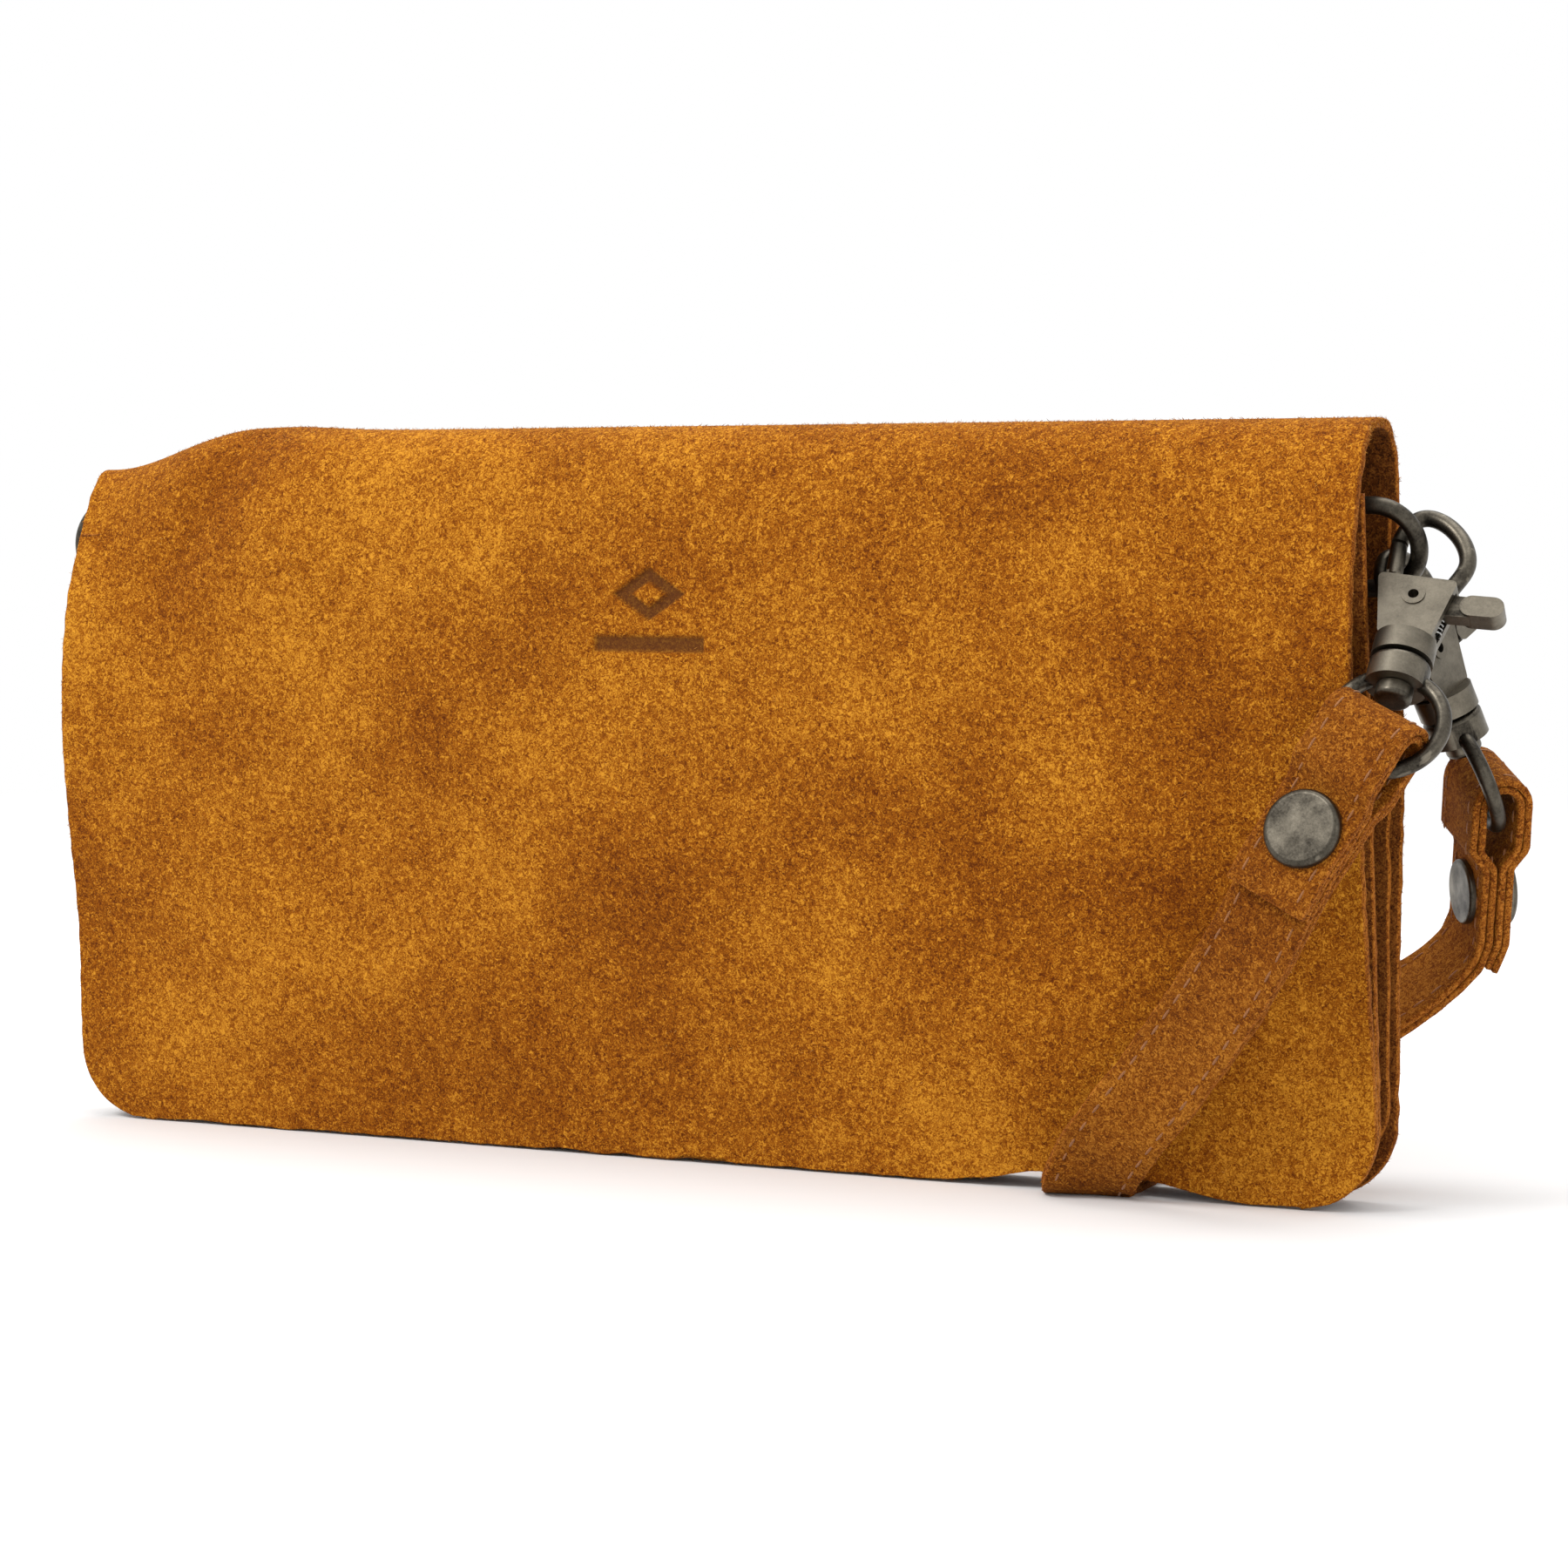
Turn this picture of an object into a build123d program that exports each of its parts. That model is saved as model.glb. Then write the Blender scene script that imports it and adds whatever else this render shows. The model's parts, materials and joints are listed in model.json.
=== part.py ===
from build123d import *
import os
from math import cos, radians, sin

os.makedirs("parts", exist_ok=True)

# Wristlet wallet: a suede fold-over clutch with a zip mouth, a D-ring on each side and a wrist strap
# whose two swivel clasps both hang on the right-hand D-ring.
# Millimetres. Origin at the footprint's centre on the floor, +X to the right of someone facing the
# flap, -Y towards that person, +Z up.

# ---------------------------------------------------------------- driving dimensions
width_bottom = 235.0        # across the panels at their lower edge
width_top = 230.0           # across the panels at the fold
height = 120.0              # floor to the top of the fold
suede = 1.6                 # thickness of the suede
corner_radius = 12.0        # lower corners of every panel
panel_bottom = 3.0          # the panels stand this far up, on the strap
panel_top = 106.0           # upper edge of the front panel and the gussets
back_depth_bottom = 5.5     # outer face of the back panel, at the bottom
back_depth_top = 10.5       # and near the fold
front_depth_bottom = 3.7    # outer face of the front panel, at the bottom
front_depth_top = 9.7       # and at its upper edge
crest_gap = 1.0             # half the slot that parts the back panel from the flap on the fold

lining = 0.5
lining_half_width = 88.0
divider = 1.2
pocket = 0.8                # thickness of a card pocket
pocket_half_width = 46.0
pocket_height = 20.0        # step from one card pocket's mouth to the next

zip_z = 99.5                # middle of the zip's teeth
zip_half_length = 84.0
tape_thickness = 0.6
tooth_thickness = 1.6
tooth_pitch = 2.5
tooth_slot = 0.45           # half the slot between the two rows
tooth_reach = 2.4           # outer edge of a row of teeth
slider_length = 9.0
pull_length = 13.0

magnet_radius = 6.0
magnet_thickness = 1.2
magnet_z = 50.0

ring_x = 113.9              # centre of the right D-ring
ring_z = 100.6
ring_radius = 6.75          # to the middle of the wire
ring_wire = 1.35            # radius of the wire
ring_corner = 1.8
ring_bar = 5.4              # from the ring's centre to its straight bar
ring_tilt = 21.7            # degrees that the right ring leans forward at its top
tab_width = 8.4
tab_thickness = 1.2
tab_gap = 0.08              # clearance between a ring's bar and its tab
tab_length = 14.0

hook_wire = 1.3             # radius of the hook's and the gate's wire
plate_half = 2.5            # half the thickness of the clasp's plate
slot_half = 1.25            # half the width of the slot that holds the trigger
lever_half = 1.15
trigger_pin = 1.3           # radius of the trigger's hollow pivot
pin_bore = 0.8
pin_head = 1.75             # the pivot's flared rim, on the plate's face
pin_head_height = 0.2
collar_radius = 4.65
collar_bottom = -10.5
swivel_radius = 1.55
swivel_gap = 0.05
boss_top = -10.9
boss_bottom = -15.2
eye_radius = 8.3            # to the middle of the eye's wire
eye_wire = 1.2
eye_centre = -21.5          # below the trigger's pivot

strap_width = 14.0
ply = 1.1                   # thickness of one strap layer
ply_gap = 0.08              # half the gap between the two layers
strap_cavity = 2.35         # half the room between the folded plies, for the eye's wire
rivet_cap_radius = 5.9
rivet_cap_thickness = 1.4
rivet_shaft_radius = 1.6


def front_face(z):
    """Outer face of the front panel at height z."""
    lean = (front_depth_top - front_depth_bottom) / (105 - panel_bottom)
    return -front_depth_bottom - lean * (z - panel_bottom)


def back_face(z):
    """Outer face of the back panel at height z."""
    lean = (back_depth_top - back_depth_bottom) / (105 - panel_bottom)
    return back_depth_bottom + lean * (z - panel_bottom)


def half_width(z):
    """Half the bag's width at height z."""
    return (width_bottom - (width_bottom - width_top) * (z - panel_bottom) / (height - panel_bottom)) / 2


def leaning_profile(face, inset, thickness, low, high):
    """A strip in the YZ plane whose outer edge lies `inset` inside a panel's outer face."""
    inward = 1 if face(low) < 0 else -1
    near = inward * inset
    far = inward * (inset + thickness)
    corners = [(face(low) + near, low), (face(high) + near, high),
               (face(high) + far, high), (face(low) + far, low)]
    with BuildLine() as edge:
        Polyline(*corners, close=True)
    make_face(edge.edges())


def panel_outline(sketch, low, high):
    """The bag seen from the front: tapered sides and rounded lower corners, in the XZ plane."""
    wide, narrow = half_width(low), half_width(high)
    with BuildLine() as edge:
        Polyline((-wide, low), (wide, low), (narrow, high), (-narrow, high), close=True)
    make_face(edge.edges())
    fillet(sketch.vertices().group_by(Axis.Y)[0], corner_radius)


def sheet(face, inset, thickness, low, high, half):
    """A plain sheet parallel to a panel, `half` wide to each side."""
    with BuildPart() as piece:
        with BuildSketch(Plane.YZ):
            leaning_profile(face, inset, thickness, low, high)
        extrude(amount=half, both=True)
    return piece.part


def finish(piece, name):
    piece.label = name
    export_step(piece, f"parts/{name}.step")


# ---------------------------------------------------------------- back panel and flap
fold_inner = height - suede

with BuildPart() as back_panel:
    with BuildSketch(Plane.YZ):
        with BuildLine() as edge:
            Line((back_face(panel_bottom) - suede, panel_bottom), (back_face(panel_bottom), panel_bottom))
            Line((back_face(panel_bottom), panel_bottom), (back_face(104), 104))
            Bezier((back_face(104), 104), (10.9, 113.5), (7.6, height), (crest_gap, height))
            Line((crest_gap, height), (crest_gap, fold_inner))
            Bezier((crest_gap, fold_inner), (6.6, fold_inner), (9.3, 112.5), (back_face(104) - suede, 104))
            Line((back_face(104) - suede, 104), (back_face(panel_bottom) - suede, panel_bottom))
        make_face()
    extrude(amount=width_bottom, both=True)
    with BuildSketch(Plane.XZ) as outline:
        panel_outline(outline, panel_bottom, height)
    extrude(amount=40, both=True, mode=Mode.INTERSECT)
finish(back_panel.part, "back_panel")

with BuildPart() as flap_panel:
    with BuildSketch(Plane.YZ):
        with BuildLine() as edge:
            Line((-5.6, panel_bottom), (-4.0, panel_bottom))
            Bezier((-4.0, panel_bottom), (-6.0, 28), (-12.2, 58), (-11.9, 86))
            Bezier((-11.9, 86), (-11.8, 109), (-8.8, fold_inner), (-crest_gap, fold_inner))
            Line((-crest_gap, fold_inner), (-crest_gap, height))
            Bezier((-crest_gap, height), (-9.6, height), (-13.2, 109), (-13.5, 86))
            Bezier((-13.5, 86), (-13.8, 58), (-7.6, 28), (-5.6, panel_bottom))
        make_face()
    extrude(amount=width_bottom, both=True)
    with BuildSketch(Plane.XZ) as outline:
        panel_outline(outline, panel_bottom, height)
    extrude(amount=40, both=True, mode=Mode.INTERSECT)
finish(flap_panel.part, "flap_panel")

# ---------------------------------------------------------------- front panel and divider
with BuildPart() as front_panel:
    with BuildSketch(Plane.YZ):
        leaning_profile(front_face, 0, suede, panel_bottom, panel_top)
    extrude(amount=width_bottom, both=True)
    with BuildSketch(Plane.XZ) as outline:
        panel_outline(outline, panel_bottom, panel_top)
    extrude(amount=40, both=True, mode=Mode.INTERSECT)
finish(front_panel.part, "front_panel")

with BuildPart() as divider_panel:
    with BuildSketch(Plane.XZ.offset(-0.2)):
        with Locations((0, 49)):
            RectangleRounded(2 * lining_half_width - 4, 82, 6)
    extrude(amount=divider / 2, both=True)
finish(divider_panel.part, "divider_panel")

# ---------------------------------------------------------------- folded side gussets
fold_depth = 21.0           # from the side edges to the gusset's inner fold
gusset_clear = 0.05


def gusset_section(z):
    """The V seen from above at height z, open to the right."""
    edge_x = half_width(z) - 0.6
    front = front_face(z) + suede + gusset_clear
    back = back_face(z) - suede - gusset_clear
    middle = (front + back) / 2
    inner_x = edge_x - fold_depth
    with BuildLine() as edge:
        Polyline((edge_x, front), (edge_x, front + suede), (inner_x + 2.2, middle),
                 (edge_x, back - suede), (edge_x, back), (inner_x, middle + 0.9),
                 (inner_x, middle - 0.9), close=True)
    make_face(edge.edges())


# ---------------------------------------------------------------- lining and card pockets
sheets = {
    "lining_front": (front_face, suede + 0.1, lining, 7, 96, lining_half_width),
    "lining_back": (back_face, suede + 0.1, lining, 7, 96, lining_half_width),
    "card_pocket_lower": (back_face, suede + 0.7 + 2 * pocket + 0.2, pocket, 14, 42, pocket_half_width),
    "card_pocket_middle": (back_face, suede + 0.7 + pocket + 0.1, pocket, 14, 42 + pocket_height,
                           pocket_half_width),
    "card_pocket_upper": (back_face, suede + 0.7, pocket, 14, 42 + 2 * pocket_height, pocket_half_width),
}
for name, values in sheets.items():
    finish(sheet(*values), name)

# ---------------------------------------------------------------- zip
with BuildPart() as zip_tape_front:
    with BuildSketch(Plane.XY.offset(zip_z - tape_thickness / 2)):
        with Locations((0, -4.6)):
            Rectangle(2 * zip_half_length + 8, 4.0)
    extrude(amount=tape_thickness)
finish(zip_tape_front.part, "zip_tape_front")

with BuildPart() as zip_tape_rear:
    with BuildSketch(Plane.XY.offset(zip_z - tape_thickness / 2)):
        with Locations((0, 4.7)):
            Rectangle(2 * zip_half_length + 8, 4.2)
    extrude(amount=tape_thickness)
finish(zip_tape_rear.part, "zip_tape_rear")

tooth_count = int(2 * zip_half_length / tooth_pitch)
for name, side in (("zip_teeth_front", -1), ("zip_teeth_rear", 1)):
    with BuildPart() as teeth:
        with BuildSketch(Plane.XY.offset(zip_z - tooth_thickness / 2)):
            with Locations((0, side * 2.1)):
                Rectangle(2 * zip_half_length, 0.9)
            with Locations((0, side * 1.2)):
                with GridLocations(tooth_pitch, 1, tooth_count, 1):
                    Rectangle(1.3, 1.5)
        extrude(amount=tooth_thickness)
    finish(teeth.part, name)

with BuildPart() as zip_stops:
    with BuildSketch(Plane.XY.offset(zip_z - 1.0)):
        with GridLocations(2 * zip_half_length + 4, 1, 2, 1):
            Rectangle(2.6, 5.0)
    extrude(amount=2.0)
    fillet(zip_stops.edges().filter_by(Axis.Z), 0.5)
finish(zip_stops.part, "zip_stops")

slider_x = zip_half_length - 8
with BuildPart() as zip_slider:
    with BuildSketch(Plane.XY.offset(zip_z + tooth_thickness / 2 + 0.15)):
        with Locations((slider_x, 0)):
            RectangleRounded(slider_length, 7.0, 1.4)
    extrude(amount=1.0)
    with BuildSketch(Plane.XY.offset(zip_z - tooth_thickness / 2 - 0.15)):
        with Locations((slider_x, 0)):
            RectangleRounded(slider_length, 7.0, 1.4)
    extrude(amount=-1.0)
    with BuildSketch(Plane.XY.offset(zip_z - 1.5)):
        with Locations((slider_x + 2.4, 0)):
            Rectangle(3.4, 2 * tooth_slot - 0.2)
    extrude(amount=3.0)
    with BuildSketch(Plane.XZ):
        with Locations((slider_x, zip_z + 1.95)):
            Rectangle(6.0, 2.6, align=(Align.CENTER, Align.MIN))
            with Locations((0, 0.35)):
                Rectangle(3.4, 1.35, align=(Align.CENTER, Align.MIN), mode=Mode.SUBTRACT)
    extrude(amount=0.8, both=True)
finish(zip_slider.part, "zip_slider")

pull_axis_z = zip_z + 1.95 + 0.35 + 0.675
pull_thickness = 0.9
with BuildPart() as zip_pull:
    with BuildSketch(Plane.XY.offset(pull_axis_z - pull_thickness / 2)):
        with Locations((slider_x - (pull_length - pull_thickness) / 2, 0)):
            RectangleRounded(pull_length, 5.0, 0.4)
        with Locations((slider_x - pull_thickness / 2 - 1.65, 0)):
            Rectangle(3.3, 2.1, mode=Mode.SUBTRACT)
        with Locations((slider_x - pull_length + 3.2, 0)):
            Circle(1.1, mode=Mode.SUBTRACT)
    extrude(amount=pull_thickness)
finish(zip_pull.part, "zip_pull")

# ---------------------------------------------------------------- concealed magnets
magnet_plane = Plane(origin=(0, -9.1, magnet_z), x_dir=(1, 0, 0), z_dir=(0, 1, 0.105))
with BuildPart() as flap_patch:
    with BuildSketch(magnet_plane):
        RectangleRounded(26, 22, 3)
    extrude(amount=1.75)
    with BuildSketch(magnet_plane.offset(0.25)):
        Circle(magnet_radius)
    extrude(amount=magnet_thickness, mode=Mode.SUBTRACT)
finish(flap_patch.part, "flap_patch")

with BuildPart() as flap_magnet:
    with BuildSketch(magnet_plane.offset(0.25)):
        Circle(magnet_radius)
    extrude(amount=magnet_thickness)
finish(flap_magnet.part, "flap_magnet")

body_magnet_plane = Plane(origin=(0, front_face(magnet_z) + suede + lining + 0.35, magnet_z),
                          x_dir=(1, 0, 0), z_dir=(0, 1, 0.059))
with BuildPart() as body_magnet:
    with BuildSketch(body_magnet_plane):
        Circle(magnet_radius)
    extrude(amount=magnet_thickness)
finish(body_magnet.part, "body_magnet")

# ---------------------------------------------------------------- D-rings and their tabs
bar_x = ring_x - ring_bar


def ring_path():
    """Centre line of the D: a half circle, two short legs, and a straight bar with round corners."""
    with BuildLine(Plane.XZ) as path:
        CenterArc((0, 0), ring_radius, -90, 180)
        Line((0, ring_radius), (-ring_bar + ring_corner, ring_radius))
        CenterArc((-ring_bar + ring_corner, ring_radius - ring_corner), ring_corner, 90, 90)
        Line((-ring_bar, ring_radius - ring_corner), (-ring_bar, -ring_radius + ring_corner))
        CenterArc((-ring_bar + ring_corner, -ring_radius + ring_corner), ring_corner, 180, 90)
        Line((-ring_bar + ring_corner, -ring_radius), (0, -ring_radius))
    return path.line


with BuildPart() as ring:
    with BuildSketch(Plane(origin=(0, 0, ring_radius), z_dir=(1, 0, 0))):
        Circle(ring_wire)
    sweep(path=ring_path())

right_ring_place = Location((ring_x, 0, ring_z), (ring_tilt, 0, 0))
finish(ring.part.moved(right_ring_place), "d_ring_right")
left_ring_place = Location((-ring_x, 0, ring_z), (0, 0, 180))
finish(ring.part.moved(left_ring_place), "d_ring_left")

with BuildPart() as ring_tab:
    with BuildSketch():
        with Locations((-ring_bar, 0)):
            Circle(ring_wire + tab_gap + tab_thickness)
        with Locations((-ring_bar - tab_length / 2, 0)):
            Rectangle(tab_length, 2 * (ring_wire + tab_gap) + 0.2)
        with Locations((-ring_bar, 0)):
            Circle(ring_wire + tab_gap, mode=Mode.SUBTRACT)
    extrude(amount=tab_width / 2, both=True)
finish(ring_tab.part.moved(right_ring_place), "ring_tab_right")
finish(ring_tab.part.moved(left_ring_place), "ring_tab_left")

with BuildPart() as gusset:
    for level in (panel_bottom + corner_radius, 100):
        with BuildSketch(Plane.XY.offset(level)):
            gusset_section(level)
    loft(ruled=True)
with BuildPart() as gusset_right:
    add(gusset.part)
    add(ring_tab.part.moved(right_ring_place), mode=Mode.SUBTRACT)
finish(gusset_right.part, "gusset_right")
with BuildPart() as gusset_left:
    add(gusset.part)
    mirror(about=Plane.YZ, mode=Mode.REPLACE)
    add(ring_tab.part.moved(left_ring_place), mode=Mode.SUBTRACT)
finish(gusset_left.part, "gusset_left")

# ---------------------------------------------------------------- swivel clasp, in its own frame
# Origin at the trigger's pivot, +Z towards the hook, +X towards the spine and the thumb tab,
# Y across the plate.
with BuildPart() as clasp_body:
    with BuildSketch(Plane.XZ) as plate_sketch:
        with BuildLine():
            Polyline((-6.0, 3.6), (6.2, 3.0), (4.0, -7.2), (-4.0, -7.2), close=True)
        make_face()
        fillet(plate_sketch.vertices(), 0.8)
    extrude(amount=plate_half, both=True)
    with BuildSketch(Plane.XY.offset(-7.0)):
        Circle(collar_radius)
    extrude(amount=collar_bottom + 7.0)
    with BuildLine() as hook_path:
        Spline((4.2, 0, 1.6), (6.3, 0, 7.6), (0.9, 0, 15.2), (-4.5, 0, 10.6),
               tangents=((0.35, 0, 1), (-0.12, 0, -1)))
    with BuildSketch(Plane(origin=hook_path.line @ 0, z_dir=hook_path.line % 0)):
        Circle(hook_wire)
    sweep(path=hook_path.line)
    with BuildSketch(Plane.XZ):
        with BuildLine():
            Polyline((-8, -6), (8, -6), (8, 1.7), (2.8, 1.7), (2.8, 5), (-8, 5), close=True)
        make_face()
    extrude(amount=slot_half, both=True, mode=Mode.SUBTRACT)
    with BuildSketch(Plane.XZ):
        Circle(trigger_pin)
    extrude(amount=10, both=True, mode=Mode.SUBTRACT)
    with BuildSketch(Plane.XY.offset(collar_bottom)):
        Circle(swivel_radius)
    extrude(amount=4.0, mode=Mode.SUBTRACT)

with BuildPart() as trigger:
    with BuildSketch(Plane.XZ):
        Circle(2.5)
        with BuildLine():
            Polyline((-1.6, 1.9), (-3.2, 5.2), (-5.3, 5.0), (-4.8, 0.2), (-2.0, -1.5), (0, 0), close=True)
        make_face()
        with BuildLine():
            Polyline((0, 1.4), (8.5, 1.2), (8.5, -2.4), (0, -2.4), close=True)
        make_face()
    extrude(amount=lever_half, both=True)
    with BuildSketch(Plane.XZ):
        with Locations((10.2, -0.6)):
            SlotOverall(6.6, 3.6)
    extrude(amount=1.7, both=True)
    with BuildLine() as gate_path:
        Line((-4.2, 0, 4.6), (-4.5, 0, 10.05))
    with BuildSketch(Plane(origin=gate_path.line @ 0, z_dir=gate_path.line % 0)):
        Circle(hook_wire)
    sweep(path=gate_path.line)
    with BuildSketch(Plane.XZ):
        Circle(trigger_pin + swivel_gap)
    extrude(amount=10, both=True, mode=Mode.SUBTRACT)

with BuildPart() as trigger_pivot:
    with BuildSketch(Plane.XZ):
        Circle(trigger_pin)
    extrude(amount=plate_half, both=True)
    with BuildSketch(Plane.XZ.offset(plate_half)):
        Circle(pin_head)
    extrude(amount=pin_head_height)
    with BuildSketch(Plane.XZ):
        Circle(pin_bore)
    extrude(amount=10, both=True, mode=Mode.SUBTRACT)

with BuildPart() as trigger_spring:
    with BuildLine(Plane(origin=(4.0, 0, -5.75))) as coil_path:
        Helix(pitch=0.75, height=3.0, radius=0.75)
    with BuildSketch(Plane(origin=coil_path.line @ 0, z_dir=coil_path.line % 0)):
        Circle(0.15)
    sweep(path=coil_path.line, is_frenet=True)

with BuildPart() as swivel_pin:
    with BuildSketch(Plane.XY.offset(-6.9)):
        Circle(swivel_radius)
    extrude(amount=boss_bottom - 0.1 + 6.9)
    with BuildSketch(Plane.XY.offset(boss_bottom - 0.1)):
        Circle(2.8)
    extrude(amount=-2.4)
    fillet(swivel_pin.edges().sort_by(Axis.Z)[0], 0.9)

with BuildPart() as swivel_eye:
    with BuildSketch(Plane(origin=(eye_radius, 0, eye_centre), z_dir=(0, 0, 1))):
        Circle(eye_wire)
    revolve(axis=Axis((0, 0, eye_centre), (0, 1, 0)))
    with BuildSketch(Plane.XY.offset(boss_bottom)):
        Circle(4.6)
    extrude(amount=boss_top - boss_bottom)
    fillet(swivel_eye.edges().filter_by(GeomType.CIRCLE).sort_by(Axis.Z)[-1], 0.8)
    with BuildSketch(Plane.XY.offset(boss_bottom - 1.5)):
        Circle(swivel_radius + swivel_gap)
    extrude(amount=8, mode=Mode.SUBTRACT)
    with BuildSketch(Plane.XY.offset(boss_bottom)):
        Circle(3.0)
    extrude(amount=-2.0, mode=Mode.SUBTRACT)

# ---------------------------------------------------------------- where the two clasps hang
front_plane = Plane(origin=(121.7, -5.7, 92.2), x_dir=(0.996, 0.05, -0.076), z_dir=(0.031, 0.598, 0.801))
rear_plane = Plane(origin=(119.9, 7.2, 85.0), x_dir=(0.242, 0.882, 0.404), z_dir=(-0.274, -0.337, 0.901))
rear_eye_turn = 46.0        # degrees that the rear clasp's eye is swivelled from its plate
rear_eye_x = rear_plane.x_dir * cos(radians(rear_eye_turn)) + rear_plane.y_dir * sin(radians(rear_eye_turn))
rear_eye_plane = Plane(origin=rear_plane.origin, x_dir=rear_eye_x, z_dir=rear_plane.z_dir)

clasp_pieces = {
    "clasp_body": clasp_body, "trigger": trigger, "trigger_pivot": trigger_pivot,
    "trigger_spring": trigger_spring, "swivel_pin": swivel_pin, "swivel_eye": swivel_eye,
}
for side, plane, eye_plane in (("front", front_plane, front_plane), ("rear", rear_plane, rear_eye_plane)):
    for name, piece in clasp_pieces.items():
        place = eye_plane if name == "swivel_eye" else plane
        finish(piece.part.moved(place.location), f"{name}_{side}")

# ---------------------------------------------------------------- wrist strap
# Two layers lie face to face. At each end they fold over the eye's wire and lie back on the outer
# face, where a rivet holds the four plies together. A station on the strap's middle surface is a
# place, the direction of travel, and the direction towards the outer layer's face.
mid_offset = ply / 2 + ply_gap
end_offset = 2 * mid_offset + ply_gap       # from the joint between run and fold to the middle of either
cavity_offset = strap_cavity + 2 * mid_offset
turn_start = cavity_offset + ply / 2 - 0.8  # the fold's centre, below the middle of the eye
cavity_end = 10.6
stack_start = 13.6
rivet_at = 20.0
bend_start = 26.3
fold_length = 31.0
wire_depth = 6.6            # where the eye's wire lies in the fold, below the middle of the eye


def end_frame(plane, turn, lean):
    """Where the strap leaves an eye: the fold's top, the way down the strap, and its outer face.

    The strap is turned in the plane of the eye by `turn` degrees, and leans out of it by `lean`."""
    eye = plane.origin + plane.z_dir * eye_centre
    down = plane.x_dir * sin(radians(turn)) - plane.z_dir * cos(radians(turn))
    out = plane.x_dir.cross(plane.z_dir)
    leaning = down * cos(radians(lean)) - out * sin(radians(lean))
    facing = out * cos(radians(lean)) + down * sin(radians(lean))
    return eye + down * wire_depth - leaning * wire_depth, leaning, facing


def fold_stations(top, down, out, bend):
    """Stations from the square-cut end, up over the eye's wire and down to the joint with the run.

    `bend` turns the lower end of the stack towards the run, in degrees."""
    half_stack = [(fold_length, end_offset), (bend_start, end_offset), (rivet_at, end_offset),
                  (stack_start, end_offset), (cavity_end, cavity_offset), (turn_start, cavity_offset)]
    across = out.cross(down)
    stations = []

    def place(along, aside):
        past = max(0.0, along - bend_start)
        angle = radians(bend) * past / (fold_length - bend_start)
        heading = down * cos(angle / 2) - out * sin(angle / 2)
        normal = out * cos(angle) + down * sin(angle)
        way = down * cos(angle) - out * sin(angle)
        return top + down * min(along, bend_start) + heading * past + normal * aside, way, normal

    for along, aside in half_stack:
        spot, way, normal = place(along, aside)
        stations.append((spot, way * -1, normal * -1))
    turn_steps = 12
    for step in range(1, turn_steps):
        angle = radians(180 * step / turn_steps)
        spot = top + down * turn_start + out * (cavity_offset * cos(angle))
        spot = spot - down * (cavity_offset * sin(angle))
        travel = out * sin(angle) * -1 - down * cos(angle)
        stations.append((spot, travel, travel.cross(across)))
    for along, aside in reversed(half_stack):
        spot, way, normal = place(along, -aside)
        stations.append((spot, way, normal))
    return stations


def run_stations(start, guides, end, count):
    """Stations between two given ones, through the guide places, each with its outer face."""
    with BuildLine() as path:
        Spline([start[0], *[spot for spot, facing in guides], end[0]], tangents=(start[1], end[1]))
    curve = path.edge()
    marks = [0.0] + [curve.param_at_point(spot) for spot, facing in guides] + [1.0]
    facings = [start[2]] + [Vector(facing) for spot, facing in guides] + [end[2]]
    stations = []
    for step in range(1, count):
        at = step / count
        k = max(i for i in range(len(marks) - 1) if marks[i] <= at)
        share = (at - marks[k]) / (marks[k + 1] - marks[k])
        share = share * share * (3 - 2 * share)
        travel = (curve % at).normalized()
        facing = facings[k] * (1 - share) + facings[k + 1] * share
        facing = (facing - travel * facing.dot(travel)).normalized()
        stations.append((curve @ at, travel, facing))
    return stations


def ribbon(stations, offset):
    """One strap layer: a ruled loft through a thin rectangle at every station."""
    with BuildPart() as layer:
        for spot, travel, facing in stations:
            across = facing.cross(travel)
            with BuildSketch(Plane(origin=spot + facing * offset, x_dir=across, z_dir=travel)):
                Rectangle(strap_width, ply)
        loft(ruled=True)
    return layer.part


front_end = (*end_frame(front_plane, -26, 20), 16)
rear_end = (*end_frame(rear_eye_plane, 10, 21), 38)
front_fold = fold_stations(*front_end)
rear_fold = [(spot, travel * -1, facing) for spot, travel, facing in reversed(fold_stations(*rear_end))]
strap_rest = ply + ply_gap  # height of the strap's middle surface where it lies on the floor
floor_x = 71.0
floor_front = (Vector(floor_x, -6.5, strap_rest), Vector(0, 1, 0), Vector(0, 0, -1))
floor_rear = (Vector(floor_x, 6.5, strap_rest), Vector(0, 1, 0), Vector(0, 0, -1))
front_guides = [((88.0, -18.0, 22.0), (0.05, -1, 0.05)), ((75.2, -12.7, 6.8), (0, -0.85, -0.53))]
rear_guides = [((75.2, 12.7, 6.8), (0, 0.85, -0.53)), ((88.0, 17.3, 14.5), (0.15, 0.9, -0.4)),
               ((104.0, 19.5, 24.0), (0.45, 0.7, -0.5))]
stations = [*front_fold, *run_stations(front_fold[-1], front_guides, floor_front, 18), floor_front,
            floor_rear, *run_stations(floor_rear, rear_guides, rear_fold[0], 24), *rear_fold]

rivet_spots = []
for end in (front_end, rear_end):
    spot, travel, facing = fold_stations(*end)[2]
    rivet_spots.append(Plane(origin=spot - facing * (mid_offset + ply / 2),
                             x_dir=facing.cross(travel), z_dir=facing * -1))

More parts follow.
